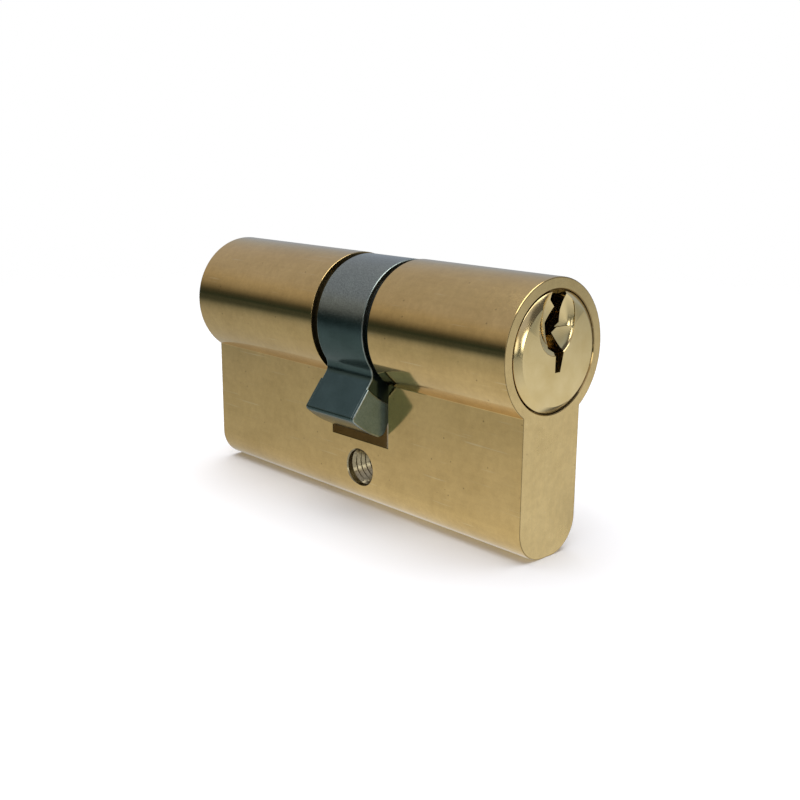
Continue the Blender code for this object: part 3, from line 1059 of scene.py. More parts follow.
@dataclass
class Housing:
    """The brass body: a barrel with a web below it, a slot for the cam and two bores."""

    datum: Datum
    barrel_radius: float = 8.5
    web_width: float = 10.0
    axis_to_bottom: float = 24.5
    axis_to_fixing: float = 18.95
    web_corner_radius: float = 4.2
    neck_fillet: float = 0.12
    edge_round: float = 0.13
    slot_width: float = 10.86
    slot_depth: float = 15.15
    bore_radius: float = 6.55
    head_bore_radius: float = 7.15
    head_seat: float = 1.05
    mouth_chamfer: float = 0.1
    chamber_radius: float = 1.5
    thread_root_radius: float = 2.45
    thread_core_radius: float = 2.1
    hole_mouth_radius: float = 2.6
    thread_pitch: float = 0.8
    barrel_steps: int = 176
    margin: float = 1.0

    def outline(self) -> list[Point]:
        """The profile: the round barrel, the web below it, and a small fillet between them.

        Returns:
            The closed outline as (Y, Z) points.
        """
        half = self.web_width / 2
        reach = self.barrel_radius + self.neck_fillet
        centre_y = half + self.neck_fillet
        centre_z = -math.sqrt(reach**2 - centre_y**2)
        neck = math.atan2(centre_y, -centre_z)
        barrel = arc((0.0, 0.0), self.barrel_radius, neck, 2 * math.pi - neck, self.barrel_steps)
        fillet = arc((centre_y, centre_z), self.neck_fillet, neck - math.pi, -math.pi / 2, 5)
        corner_y = half - self.web_corner_radius
        corner_z = self.web_corner_radius - self.axis_to_bottom
        left = arc((-corner_y, corner_z), self.web_corner_radius, -math.pi / 2, 0.0, 20)
        right = arc((corner_y, corner_z), self.web_corner_radius, 0.0, math.pi / 2, 20)
        return barrel + mirrored(fillet)[1:] + left + right + fillet[::-1][:-1]

    def bore(self, side: Side) -> Solid:
        """The bore of one plug with the seat of its head and a small chamfer at its mouth.

        Args:
            side: Which half it belongs to.

        Returns:
            The cutter.
        """
        face = self.datum.length(side)
        seat = face - self.head_seat
        head = self.head_bore_radius
        profile = [
            (0.0, face + self.margin),
            (head + self.mouth_chamfer + self.margin, face + self.margin),
            (head, face - self.mouth_chamfer),
            (head, seat),
            (self.bore_radius, seat),
            (self.bore_radius, self.slot_width / 2 - self.margin),
            (0.0, self.slot_width / 2 - self.margin),
        ]
        return Solid.lathe(profile, 128, Axis.X).moved(side.turn)

    def chambers(self, side: Side, places: Sequence[float]) -> list[Solid]:
        """The pin chambers of one half, from the bottom of the web up into the bore.

        Args:
            side: Which half.
            places: The pin places along the half's own X.

        Returns:
            The cutters.
        """
        low = -self.axis_to_bottom - self.margin
        high = self.margin - self.bore_radius
        profile = [(0.0, high), (self.chamber_radius, high), (self.chamber_radius, low), (0.0, low)]
        return [
            Solid.lathe(profile, 40).moved(side.turn @ Matrix.Translation((x, 0.0, 0.0)))
            for x in places
        ]

    def fixing_hole(self) -> Solid:
        """The hole across the web at the root of its thread, with a chamfer at each mouth.

        Returns:
            The cutter.
        """
        flank = self.web_width / 2
        sink = self.hole_mouth_radius - self.thread_root_radius
        upper = [
            (0.0, flank + self.margin),
            (self.hole_mouth_radius + self.margin, flank + self.margin),
            (self.thread_root_radius, flank - sink),
        ]
        profile = upper + [(radius, -height) for radius, height in reversed(upper)]
        return Solid.lathe(profile, 96, Axis.Y).moved(
            Matrix.Translation((0.0, 0.0, -self.axis_to_fixing))
        )

    def surface(self, centre: Vector, normal: Vector) -> int:
        """The finish of a face: 0 for flanks, 1 for ends, 2 for what is cut inside, 3 for the hole.

        Args:
            centre: Middle of the face.
            normal: Its outward direction.

        Returns:
            The number of its material slot.
        """
        ends = (self.datum.outside_end, -self.datum.inside_end)
        if any(abs(centre.x - end) < WELD for end in ends):
            return 1
        radius = math.hypot(centre.y, centre.z)
        in_barrel = radius > self.barrel_radius - self.edge_round * EDGE_REACH
        in_web = abs(centre.y) > self.web_width / 2 - self.edge_round * EDGE_REACH and centre.z < 0.0
        in_corner = centre.z < self.web_corner_radius - self.axis_to_bottom
        wall = abs(normal.x) > 0.9
        off_hole = math.hypot(centre.x, centre.z + self.axis_to_fixing)
        if off_hole < self.hole_mouth_radius and abs(normal.y) < 0.9:
            return 3
        return 0 if (in_barrel or in_web or in_corner) and not wall else 2

    def build(self, shop: Workshop, places: dict[Side, list[float]]) -> bpy.types.Object:
        """Makes the body.

        Args:
            shop: The finishes.
            places: The pin places of each half along its own X.

        Returns:
            The piece.
        """
        body = Solid.prism(self.outline(), -self.datum.inside_end, self.datum.outside_end)
        reach = self.barrel_radius + self.margin
        half = self.slot_width / 2
        body = body.cut(Solid.box((-half, -reach, -self.slot_depth), (half, reach, reach)))
        body.rounded(self.edge_round, least=math.radians(70.0))
        tools = [self.fixing_hole()]
        for side in Side:
            tools += [self.bore(side), *self.chambers(side, places[side])]
        body = body.cut(*tools)
        piece = body.piece(
            "housing_body",
            [shop.extruded, shop.milled, shop.sawn_and_shaded, shop.tapped],
            self.datum,
            self.surface,
        )
        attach(piece, "housing")
        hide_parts("housing")
        return piece

    def build_thread(self, shop: Workshop) -> bpy.types.Object:
        """Makes the thread of the fixing hole as a helical ridge on its wall.

        Args:
            shop: The finishes.

        Returns:
            The piece.
        """
        length = self.web_width - 2 * self.thread_pitch
        helix = Helix(
            "fixing_thread_tree", shop.tapped, points_a_turn=36, wire_sides=4, dead_turns=0.0
        )
        mesh = helix.bake(
            radius=self.thread_root_radius,
            wire=self.thread_root_radius - self.thread_core_radius,
            turns=length / self.thread_pitch,
            length=length,
        )
        middle = Matrix.Translation((0.0, 0.0, -self.axis_to_fixing))
        lying = Axis.Y.from_z @ Matrix.Translation((0.0, 0.0, -length / 2))
        mesh.transform(self.datum.to_part @ middle @ lying)
        thread = object_of("fixing_thread", mesh)
        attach(thread, "housing")
        return thread


@dataclass
class Helix:
    """A wire wound round Z, made by a Geometry Nodes tree. Its first and last turns can lie flat."""

    name: str
    material: bpy.types.Material
    points_a_turn: int
    wire_sides: int
    dead_turns: float
    tree: bpy.types.NodeTree = field(init=False)
    sockets: dict[str, str] = field(init=False, default_factory=dict)

    def __post_init__(self) -> None:
        """Builds the tree with its named inputs."""
        self.tree = bpy.data.node_groups.new(self.name, "GeometryNodeTree")
        for label in ("Radius", "Wire", "Turns", "Length"):
            made = self.tree.interface.new_socket(
                label, in_out="INPUT", socket_type="NodeSocketFloat"
            )
            self.sockets[label] = made.identifier
        self.tree.interface.new_socket(
            "Geometry", in_out="OUTPUT", socket_type="NodeSocketGeometry"
        )
        tree = self.tree
        given = add_node(tree, "NodeGroupInput").outputs
        spiral = add_node(
            tree,
            "GeometryNodeCurveSpiral",
            {
                "Resolution": self.points_a_turn,
                "Rotations": given["Turns"],
                "Start Radius": given["Radius"],
                "End Radius": given["Radius"],
                "Height": 0.0,
            },
        )
        share = add_node(tree, "GeometryNodeSplineParameter").outputs["Factor"]
        flat = add_node(
            tree, "ShaderNodeMath", {0: self.dead_turns, 1: given["Turns"]}, operation="DIVIDE"
        )
        late = add_node(
            tree, "ShaderNodeMath", {0: 1.0, 1: flat.outputs["Value"]}, operation="SUBTRACT"
        )
        coil = add_node(
            tree,
            "ShaderNodeMath",
            {0: given["Wire"], 1: 2.0 * self.dead_turns},
            operation="MULTIPLY",
        )
        coils = add_node(
            tree, "ShaderNodeMath", {0: coil.outputs["Value"], 1: 2.0}, operation="MULTIPLY"
        )
        rise = add_node(
            tree,
            "ShaderNodeMath",
            {0: given["Length"], 1: coils.outputs["Value"]},
            operation="SUBTRACT",
        )
        spans = [
            (0.0, flat.outputs["Value"], coil.outputs["Value"]),
            (flat.outputs["Value"], late.outputs["Value"], rise.outputs["Value"]),
            (late.outputs["Value"], 1.0, coil.outputs["Value"]),
        ]
        height = None
        for start, end, climb in spans:
            part = add_node(
                tree, "ShaderNodeMapRange", {
                    "Value": share, "From Min": start, "From Max": end, "To Max": climb
                }
            )
            if height is None:
                height = part.outputs["Result"]
                continue
            total = add_node(
                tree, "ShaderNodeMath", {0: height, 1: part.outputs["Result"]}, operation="ADD"
            )
            height = total.outputs["Value"]
        lift = add_node(tree, "ShaderNodeCombineXYZ", {"Z": height})
        raised = add_node(
            tree,
            "GeometryNodeSetPosition",
            {"Geometry": spiral.outputs["Curve"], "Offset": lift.outputs["Vector"]},
        )
        upright = add_node(
            tree, "GeometryNodeSetCurveNormal", {"Curve": raised.outputs["Geometry"]}, mode="Z_UP"
        )
        section = add_node(
            tree, "GeometryNodeCurvePrimitiveCircle", {
                "Resolution": self.wire_sides, "Radius": given["Wire"]
            }
        )
        swept = add_node(
            tree,
            "GeometryNodeCurveToMesh",
            {
                "Curve": upright.outputs["Curve"],
                "Profile Curve": section.outputs["Curve"],
                "Fill Caps": True,
            },
        )
        real = add_node(tree, "GeometryNodeRealizeInstances", {"Geometry": swept.outputs["Mesh"]})
        dressed = add_node(
            tree, "GeometryNodeSetMaterial", {
                "Geometry": real.outputs["Geometry"], "Material": self.material
            }
        )
        add_node(tree, "NodeGroupOutput", {"Geometry": dressed.outputs["Geometry"]})

    def bake(self, radius: float, wire: float, turns: float, length: float) -> bpy.types.Mesh:
        """Makes one helix as a plain mesh standing on the origin, in millimetres.

        Args:
            radius: Radius of the wire's centreline.
            wire: Radius of the wire.
            turns: Number of turns.
            length: Rise of the centreline.

        Returns:
            The mesh.
        """
        source = object_of(self.name, bpy.data.meshes.new(self.name))
        modifier = source.modifiers.new("helix", "NODES")
        modifier.node_group = self.tree
        for label, value in (
            ("Radius", radius), ("Wire", wire), ("Turns", turns), ("Length", length)
        ):
            modifier[self.sockets[label]] = value
        mesh = baked(source, self.name)
        bm = bmesh.new()
        bm.from_mesh(mesh)
        bmesh.ops.recalc_face_normals(bm, faces=bm.faces)
        bm.to_mesh(mesh)
        bm.free()
        mesh.shade_smooth()
        mesh.set_sharp_from_angle(angle=math.radians(50.0))
        return mesh


@dataclass
class Plug:
    """A brass plug with its head, keyway, scooped mouth, pin holes, clip groove and clutch slot."""

    datum: Datum
    radius: float = 6.5
    head_radius: float = 7.0
    head_seat: float = 1.0
    head_proud: float = 0.55
    bevel_width: float = 0.9
    bevel_depth: float = 0.6
    stub_end: float = 2.5
    groove_depth: float = 0.6
    groove_start: float = 4.5
    groove_end: float = 5.4
    pin_hole_radius: float = 1.5
    pin_hole_top: float = 2.0
    slot_half_height: float = 1.6
    slot_end: float = 6.0
    hub_radius: float = 3.1
    hub_end: float = 3.8
    wide_scoop: tuple[Place, Place] = ((0.0, -0.45, 3.1), (0.6, 3.08, 3.4))
    deep_scoop: tuple[Place, Place] = ((0.0, -0.3, 3.9), (1.0, 2.95, 3.6))
    ledge_y: float = -1.0
    ledge_z: float = 2.85
    margin: float = 1.0
    ward_left: tuple[Point, ...] = (
        (-0.5, -2.2), (-0.5, 0.1), (-1.5, 0.65), (-1.6, 3.5), (0.0, 5.15), (-0.9, 6.0)
    )
    ward_right: tuple[Point, ...] = (
        (0.4, -2.2), (0.95, 0.2), (-0.75, 2.35), (0.9, 3.3), (1.0, 4.7), (1.4, 6.3)
    )

    def turned_body(self, face: float) -> Solid:
        """The plug as it leaves the lathe.

        Args:
            face: Place of its outer face along X.

        Returns:
            The solid.
        """
        soft = 0.06
        groove = self.radius - self.groove_depth
        rim = self.head_radius - self.bevel_width
        seat = face - self.head_proud - self.head_seat
        profile = [
            (0.0, face),
            (rim - soft, face),
            (rim + soft, face - soft),
            (self.head_radius - soft, face - self.bevel_depth + soft),
            (self.head_radius, face - self.bevel_depth - soft),
            (self.head_radius, seat),
            (self.radius, seat),
            (self.radius, self.groove_end),
            (groove, self.groove_end),
            (groove, self.groove_start),
            (self.radius, self.groove_start),
            (self.radius, self.stub_end + soft),
            (self.radius - soft, self.stub_end),
            (0.0, self.stub_end),
        ]
        return Solid.lathe(profile, 144, Axis.X)

    def keyway(self, face: float) -> Solid:
        """The keyway, which runs the whole length and opens through the top of the plug.

        Args:
            face: Place of the plug's outer face along X.

        Returns:
            The cutter.
        """
        rim = self.head_radius + self.margin
        left = [*self.ward_left, (self.ward_left[-1][0], rim)]
        right = [*self.ward_right, (self.ward_right[-1][0], rim)]
        return Solid.prism(right + left[::-1], self.stub_end - self.margin, face + self.margin)

    def build(self, side: Side, shop: Workshop, places: Sequence[float]) -> bpy.types.Object:
        """Makes one plug.

        Args:
            side: Which half it belongs to.
            shop: The finishes.
            places: The pin places along the half's own X.

        Returns:
            The piece.
        """
        face = self.datum.length(side) + self.head_proud
        body = self.turned_body(face)
        tools = [
            self.scoop(face, *self.wide_scoop),
            self.upper_scoop(face),
            self.keyway(face),
            self.clutch_slot(),
            self.hub_recess(),
            *self.pin_holes(places),
        ]
        body = body.cut(*tools).moved(side.turn)
        name = f"{side.value}_plug"
        piece = body.piece(f"{name}_body", [shop.turned], self.datum)
        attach(piece, name)
        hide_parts(name)
        return piece

    def scoop(self, face: float, centre: Place, radii: Place) -> Solid:
        """One hollow of the keyway's mouth, an ellipsoid whose middle lies on the face."""
        return Solid.ellipsoid(tuple(Vector(centre) + Vector((face, 0.0, 0.0))), radii, 96)

    def upper_scoop(self, face: float) -> Solid:
        """The deeper upper part of the hollow, which ends below in a ledge.

        Args:
            face: Place of the plug's outer face along X.

        Returns:
            The cutter.
        """
        reach = self.head_radius + self.margin
        below = Solid.box((face - reach, self.ledge_y, -reach), (face + reach, reach, self.ledge_z))
        return self.scoop(face, *self.deep_scoop).cut(below)

    def clutch_slot(self) -> Solid:
        """The slot across the stub that takes the clutch bar.

        Returns:
            The cutter.
        """
        side = self.radius + self.margin
        low = (self.stub_end - self.margin, -side, -self.slot_half_height)
        return Solid.box(low, (self.slot_end, side, self.slot_half_height))

    def hub_recess(self) -> Solid:
        """The round recess in the stub that takes the clutch hub.

        Returns:
            The cutter.
        """
        start = self.stub_end - self.margin
        profile = [
            (0.0, self.hub_end),
            (self.hub_radius, self.hub_end),
            (self.hub_radius, start),
            (0.0, start),
        ]
        return Solid.lathe(profile, 64, Axis.X)

    def pin_holes(self, places: Sequence[float]) -> list[Solid]:
        """The holes for the key pins, from below up into the keyway.

        Args:
            places: The pin places along the half's own X.

        Returns:
            The cutters.
        """
        low = -self.radius - self.margin
        top = self.pin_hole_top
        profile = [(0.0, top), (self.pin_hole_radius, top), (self.pin_hole_radius, low), (0.0, low)]
        return [Solid.lathe(profile, 40).moved(Matrix.Translation((x, 0.0, 0.0))) for x in places]


@dataclass
class Cam:
    """The steel cam: a ring round both plugs, with a flared tongue that throws the bolt."""

    datum: Datum
    ring_radius: float = 8.4
    ring_half: float = 4.4
    web_half: float = 2.3
    bore_radius: float = 6.6
    rest_angle: float = math.radians(32.0)
    tongue_radius: float = 14.85
    flank_offset: float = 1.62
    flank_flare: float = math.radians(5.7)
    flank_fillet: float = 1.6
    blade_half: float = 4.7
    blade_start_radius: float = 10.4
    blade_inset: float = 0.01
    front_round: float = 0.5
    rear_round: float = 1.1
    hub_hole_radius: float = 3.3
    key_half_length: float = 5.9
    key_half_height: float = 1.6
    edge_round: float = 0.16
    margin: float = 1.0

    def flank(self, inset: float, tip_round: float) -> list[Point]:
        """One side of the tongue, straight down on the +Y side.

        Args:
            inset: How far inside the real flank it lies.
            tip_round: Radius of the corner at the tip.

        Returns:
            The points from the ring to the middle of the tip.
        """
        offset = self.flank_offset - inset
        centre_y = offset + self.flank_fillet
        reach = self.ring_radius + self.flank_fillet
        centre_z = -math.sqrt(reach**2 - centre_y**2)
        ring_angle = math.atan2(centre_y, -centre_z)
        tip_radius = self.tongue_radius - inset
        fillet = arc(
            (centre_y, centre_z), self.flank_fillet, ring_angle - math.pi, -math.pi / 2, 12
        )
        side = rotated([*fillet, (offset, -math.sqrt(tip_radius**2 - offset**2))], self.flank_flare)
        corner = side.pop()
        tip = arc((0.0, 0.0), tip_radius, math.atan2(corner[0], -corner[1]), 0.0, 16)
        start = next(i for i in range(1, len(tip)) if math.dist(tip[i], corner) > tip_round)
        return side + corner_arc(side[-1], corner, tip[1], tip_round, 8) + tip[start:]

    def full_outline(self) -> list[Point]:
        """The ring with the whole tongue, straight down, its front on the -Y side.

        Returns:
            The points of the outline.
        """
        front, rear = self.flank(0.0, self.front_round), self.flank(0.0, self.rear_round)
        start = math.atan2(rear[0][0], -rear[0][1])
        ring = arc((0.0, 0.0), self.ring_radius, start, 2 * math.pi - start, 144)
        return ring[1:-1] + mirrored(front) + rear[::-1][1:]

    def cheek_outline(self) -> list[Point]:
        """The wider outer part of the tongue, straight down.

        Returns:
            The points of the outline.
        """
        inner = self.blade_start_radius
        front, rear = self.flank(self.blade_inset, self.front_round), self.flank(
            self.blade_inset, self.rear_round
        )
        front = [p for p in front if math.hypot(*p) > inner]
        rear = [p for p in rear if math.hypot(*p) > inner]
        edge = self.flank_flare + math.asin((self.flank_offset - self.blade_inset) / inner)
        return arc((0.0, 0.0), inner, edge, -edge, 16) + mirrored(front) + rear[::-1][1:]

    def cheek(self, sign: int) -> Solid:
        """The part of the tongue that stands wider than the ring on one side, its edges rounded.

        Args:
            sign: -1 for the -X side and 1 for the +X side.

        Returns:
            The solid.
        """
        outline = rotated(self.cheek_outline(), -self.rest_angle)
        start, end = sorted((sign * (self.ring_half - 3 * self.edge_round), sign * self.blade_half))
        return Solid.prism(outline, start, end).rounded(self.edge_round)

    def surface(self, centre: Vector, normal: Vector) -> int:
        """The finish of a face: 0 for the running faces, 1 for the sides and 2 for the edges.

        Args:
            centre: Middle of the face.
            normal: Its direction.

        Returns:
            The slot of its material.
        """
        lean = abs(normal.x)
        if lean > 0.97:
            return 1 if abs(centre.x) > self.ring_half + self.edge_round else 0
        return 2 if lean > 0.2 and centre.yz.length > self.bore_radius + self.edge_round else 0

    def build(self, shop: Workshop) -> bpy.types.Object:
        """Makes the cam with its tongue turned towards the front.

        Args:
            shop: The finishes.

        Returns:
            The piece.
        """
        outline = rotated(self.full_outline(), -self.rest_angle)
        body = Solid.prism(outline, -self.ring_half, self.ring_half).rounded(self.edge_round)
        body = body.joined(self.cheek(-1), self.cheek(1))
        outer = self.blade_half + self.margin
        tools = [self.bored(-outer, outer, self.hub_hole_radius), self.key_slot(outer)]
        for sign in (-1, 1):
            start, end = sorted((sign * self.web_half, sign * outer))
            tools.append(self.bored(start, end, self.bore_radius))
        body = body.cut(*tools)
        piece = body.piece(
            "cam_body", [shop.blackened, shop.side_lit_black, shop.edge_highlight], self.datum, self.surface
        )
        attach(piece, "cam")
        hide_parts("cam")
        return piece

    def bored(self, start: float, end: float, radius: float) -> Solid:
        """A round cutter along X between two places."""
        return Solid.lathe([(0.0, end), (radius, end), (radius, start), (0.0, start)], 128, Axis.X)

    def key_slot(self, outer: float) -> Solid:
        """The slot across the cam's web that the clutch bars engage."""
        y, z = self.key_half_length, self.key_half_height
        return Solid.box((-outer, -y, -z), (outer, y, z))


@dataclass
class PinStacks:
    """The five pin stacks of each half: key pin, driver pin, spring and chamber cap."""

    datum: Datum
    pin_radius: float = 1.4
    chamfer: float = 0.1
    first_from_face: float = 4.5
    pitch: float = 3.75
    tips: tuple[float, ...] = (-1.6, -0.4, -1.2, 0.4, -0.8)
    tip_radius: float = 0.35
    key_pin_end: float = -6.33
    driver_top: float = -6.6
    driver_bottom: float = -11.4
    spring_top: float = -11.45
    spring_bottom: float = -21.95
    spring_radius: float = 1.0
    wire_radius: float = 0.16
    spring_turns: float = 6.0
    cap_top: float = -22.0
    cap_bottom: float = -24.4
    cap_radius: float = 1.45
    steps: int = 48

    def places(self, side: Side) -> list[float]:
        """The places of the stacks along the half's own X, from the face inwards."""
        first = self.datum.length(side) - self.first_from_face
        return [first - self.pitch * i for i in range(len(self.tips))]

    def key_pin(self, tip: float) -> Solid:
        """A pointed brass pin with a blunt rounded tip.

        Args:
            tip: Height of its tip from the axis.

        Returns:
            The solid.
        """
        foot = tip - (self.pin_radius - self.tip_radius)
        end = self.key_pin_end
        profile = [
            (0.0, tip),
            (self.tip_radius * 0.6, tip - 0.01),
            (self.tip_radius, tip - 0.05),
            (self.pin_radius - 0.04, foot),
            (self.pin_radius, foot - 0.1),
            (self.pin_radius, end + self.chamfer),
            (self.pin_radius - self.chamfer, end),
            (0.0, end),
        ]
        return Solid.lathe(profile, self.steps)

    def driver_pin(self) -> Solid:
        """A plain steel pin with chamfered ends.

        Returns:
            The solid.
        """
        top, bottom, edge = self.driver_top, self.driver_bottom, self.pin_radius - self.chamfer
        profile = [
            (0.0, top),
            (edge, top),
            (self.pin_radius, top - self.chamfer),
            (self.pin_radius, bottom + self.chamfer),
            (edge, bottom),
            (0.0, bottom),
        ]
        return Solid.lathe(profile, self.steps)

    def cap(self) -> Solid:
        """A pressed cap, slightly dished where the punch seated it.

        Returns:
            The solid.
        """
        top, bottom, edge = self.cap_top, self.cap_bottom, self.cap_radius - self.chamfer
        profile = [
            (0.0, top),
            (edge, top),
            (self.cap_radius, top - self.chamfer),
            (self.cap_radius, bottom + self.chamfer),
            (edge, bottom),
            (edge * 0.6, bottom),
            (edge * 0.5, bottom + 0.12),
            (0.0, bottom + 0.16),
        ]
        return Solid.lathe(profile, self.steps)

    def build(self, side: Side, shop: Workshop) -> list[bpy.types.Object]:
        """Makes the stacks of one half.

        Args:
            side: Which half.
            shop: The finishes.

        Returns:
            The pieces.
        """
        coil = Helix(
            f"{side.value}_spring_tree", shop.wire, points_a_turn=20, wire_sides=8, dead_turns=1.0
        )
        made = []
        for number, (x, tip) in enumerate(zip(self.places(side), self.tips), 1):
            place = side.turn @ Matrix.Translation((x, 0.0, 0.0))
            rows = [
                (self.key_pin(tip), "key_pin", shop.key_pin, Slot.KEY_PIN),
                (self.driver_pin(), "driver_pin", shop.driver, Slot.DRIVER),
                (self.cap(), "chamber_cap", shop.cap, Slot.CAP),
            ]
            for solid, label, material, slot in rows:
                node = f"{side.value}_{label}_{number}"
                piece = solid.moved(place).piece(f"{node}_body", [material], self.datum)
                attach(piece, "housing" if slot is Slot.CAP else node)
                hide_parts(node)
                made.append(piece)
            made.append(self.spring(side, number, place, coil))
        return made

    def spring(self, side: Side, number: int, place: Matrix, coil: Helix) -> bpy.types.Object:
        """Makes one spring, which stretches between the cap and the driver pin.

        Args:
            side: Which half.
            number: The stack's number from the face inwards.
            place: The stack's place in the cylinder's frame.
            coil: The tree that winds it.

        Returns:
            The piece.
        """
        foot = self.spring_bottom + self.wire_radius
        rise = self.spring_top - self.wire_radius - foot
        mesh = coil.bake(self.spring_radius, self.wire_radius, self.spring_turns, rise)
        to_part = self.datum.to_part @ place
        mesh.transform(to_part @ Matrix.Translation((0.0, 0.0, foot)))
        node = f"{side.value}_spring_{number}"
        piece = object_of(f"{node}_coil", mesh)
        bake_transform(piece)
        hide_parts(node)
        return piece


@dataclass
class Clutch:
    """The sliding bar that locks a plug to the cam, with the hub that meets the other bar."""

    datum: Datum
    thickness: float = 3.0
    half_length: float = 5.6
    half_height: float = 1.5
    hub_radius: float = 3.0
    hub_overlap: float = 0.1
    starts: dict[Side, float] = field(default_factory=lambda: {Side.OUTSIDE: 0.9, Side.INSIDE: 2.9})
    hub_faces: dict[Side, float] = field(
        default_factory=lambda: {Side.OUTSIDE: -0.95, Side.INSIDE: 1.05}
    )
    edge_round: float = 0.15

    def build(self, side: Side, shop: Workshop) -> bpy.types.Object:
        """Makes one clutch bar.

        Args:
            side: Which half it belongs to.
            shop: The finishes.

        Returns:
            The piece.
        """
        start = self.starts[side]
        low = (start, -self.half_length, -self.half_height)
        high = (start + self.thickness, self.half_length, self.half_height)
        bar = Solid.box(low, high).rounded(self.edge_round)
        hub_face = self.hub_faces[side]
        rim = self.hub_radius - self.edge_round
        end = start + self.edge_round + self.hub_overlap
        profile = [
            (0.0, end), (self.hub_radius, end), (self.hub_radius, hub_face + self.edge_round)
        ]
        profile += [(rim, hub_face), (0.0, hub_face)]
        clutch = bar.joined(Solid.lathe(profile, 64, Axis.X)).moved(side.turn)
        name = f"{side.value}_clutch"
        piece = clutch.piece(f"{name}_bar", [shop.clutch], self.datum)
        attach(piece, name)
        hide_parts(name)
        return piece


@dataclass
class Clip:
    """The snap ring that holds a plug in, open at the top."""

    datum: Datum
    inner_radius: float = 5.95
    outer_radius: float = 7.4
    start: float = 4.55
    end: float = 5.35
    opening: float = math.radians(70.0)
    edge_round: float = 0.08

    def build(self, side: Side, shop: Workshop) -> bpy.types.Object:
        """Makes one snap ring.

        Args:
            side: Which half it belongs to.
            shop: The finishes.

        Returns:
            The piece.
        """
        reach = math.pi - self.opening / 2
        outline = arc((0.0, 0.0), self.outer_radius, -reach, reach, 72)
        outline += arc((0.0, 0.0), self.inner_radius, reach, -reach, 72)
        ring = Solid.prism(outline, self.start, self.end).rounded(self.edge_round).moved(side.turn)
        piece = ring.piece(f"{side.value}_snap_ring", [shop.clip], self.datum)
        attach(piece, f"{side.value}_plug")
        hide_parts(f"{side.value}_clip")
        return piece


# Studio


@dataclass(frozen=True)
class Card:
    """A round card far off: the way to it, the cosines at its rim and its core, and its strength."""

    direction: Place
    rim: float
    core: float
    strength: float


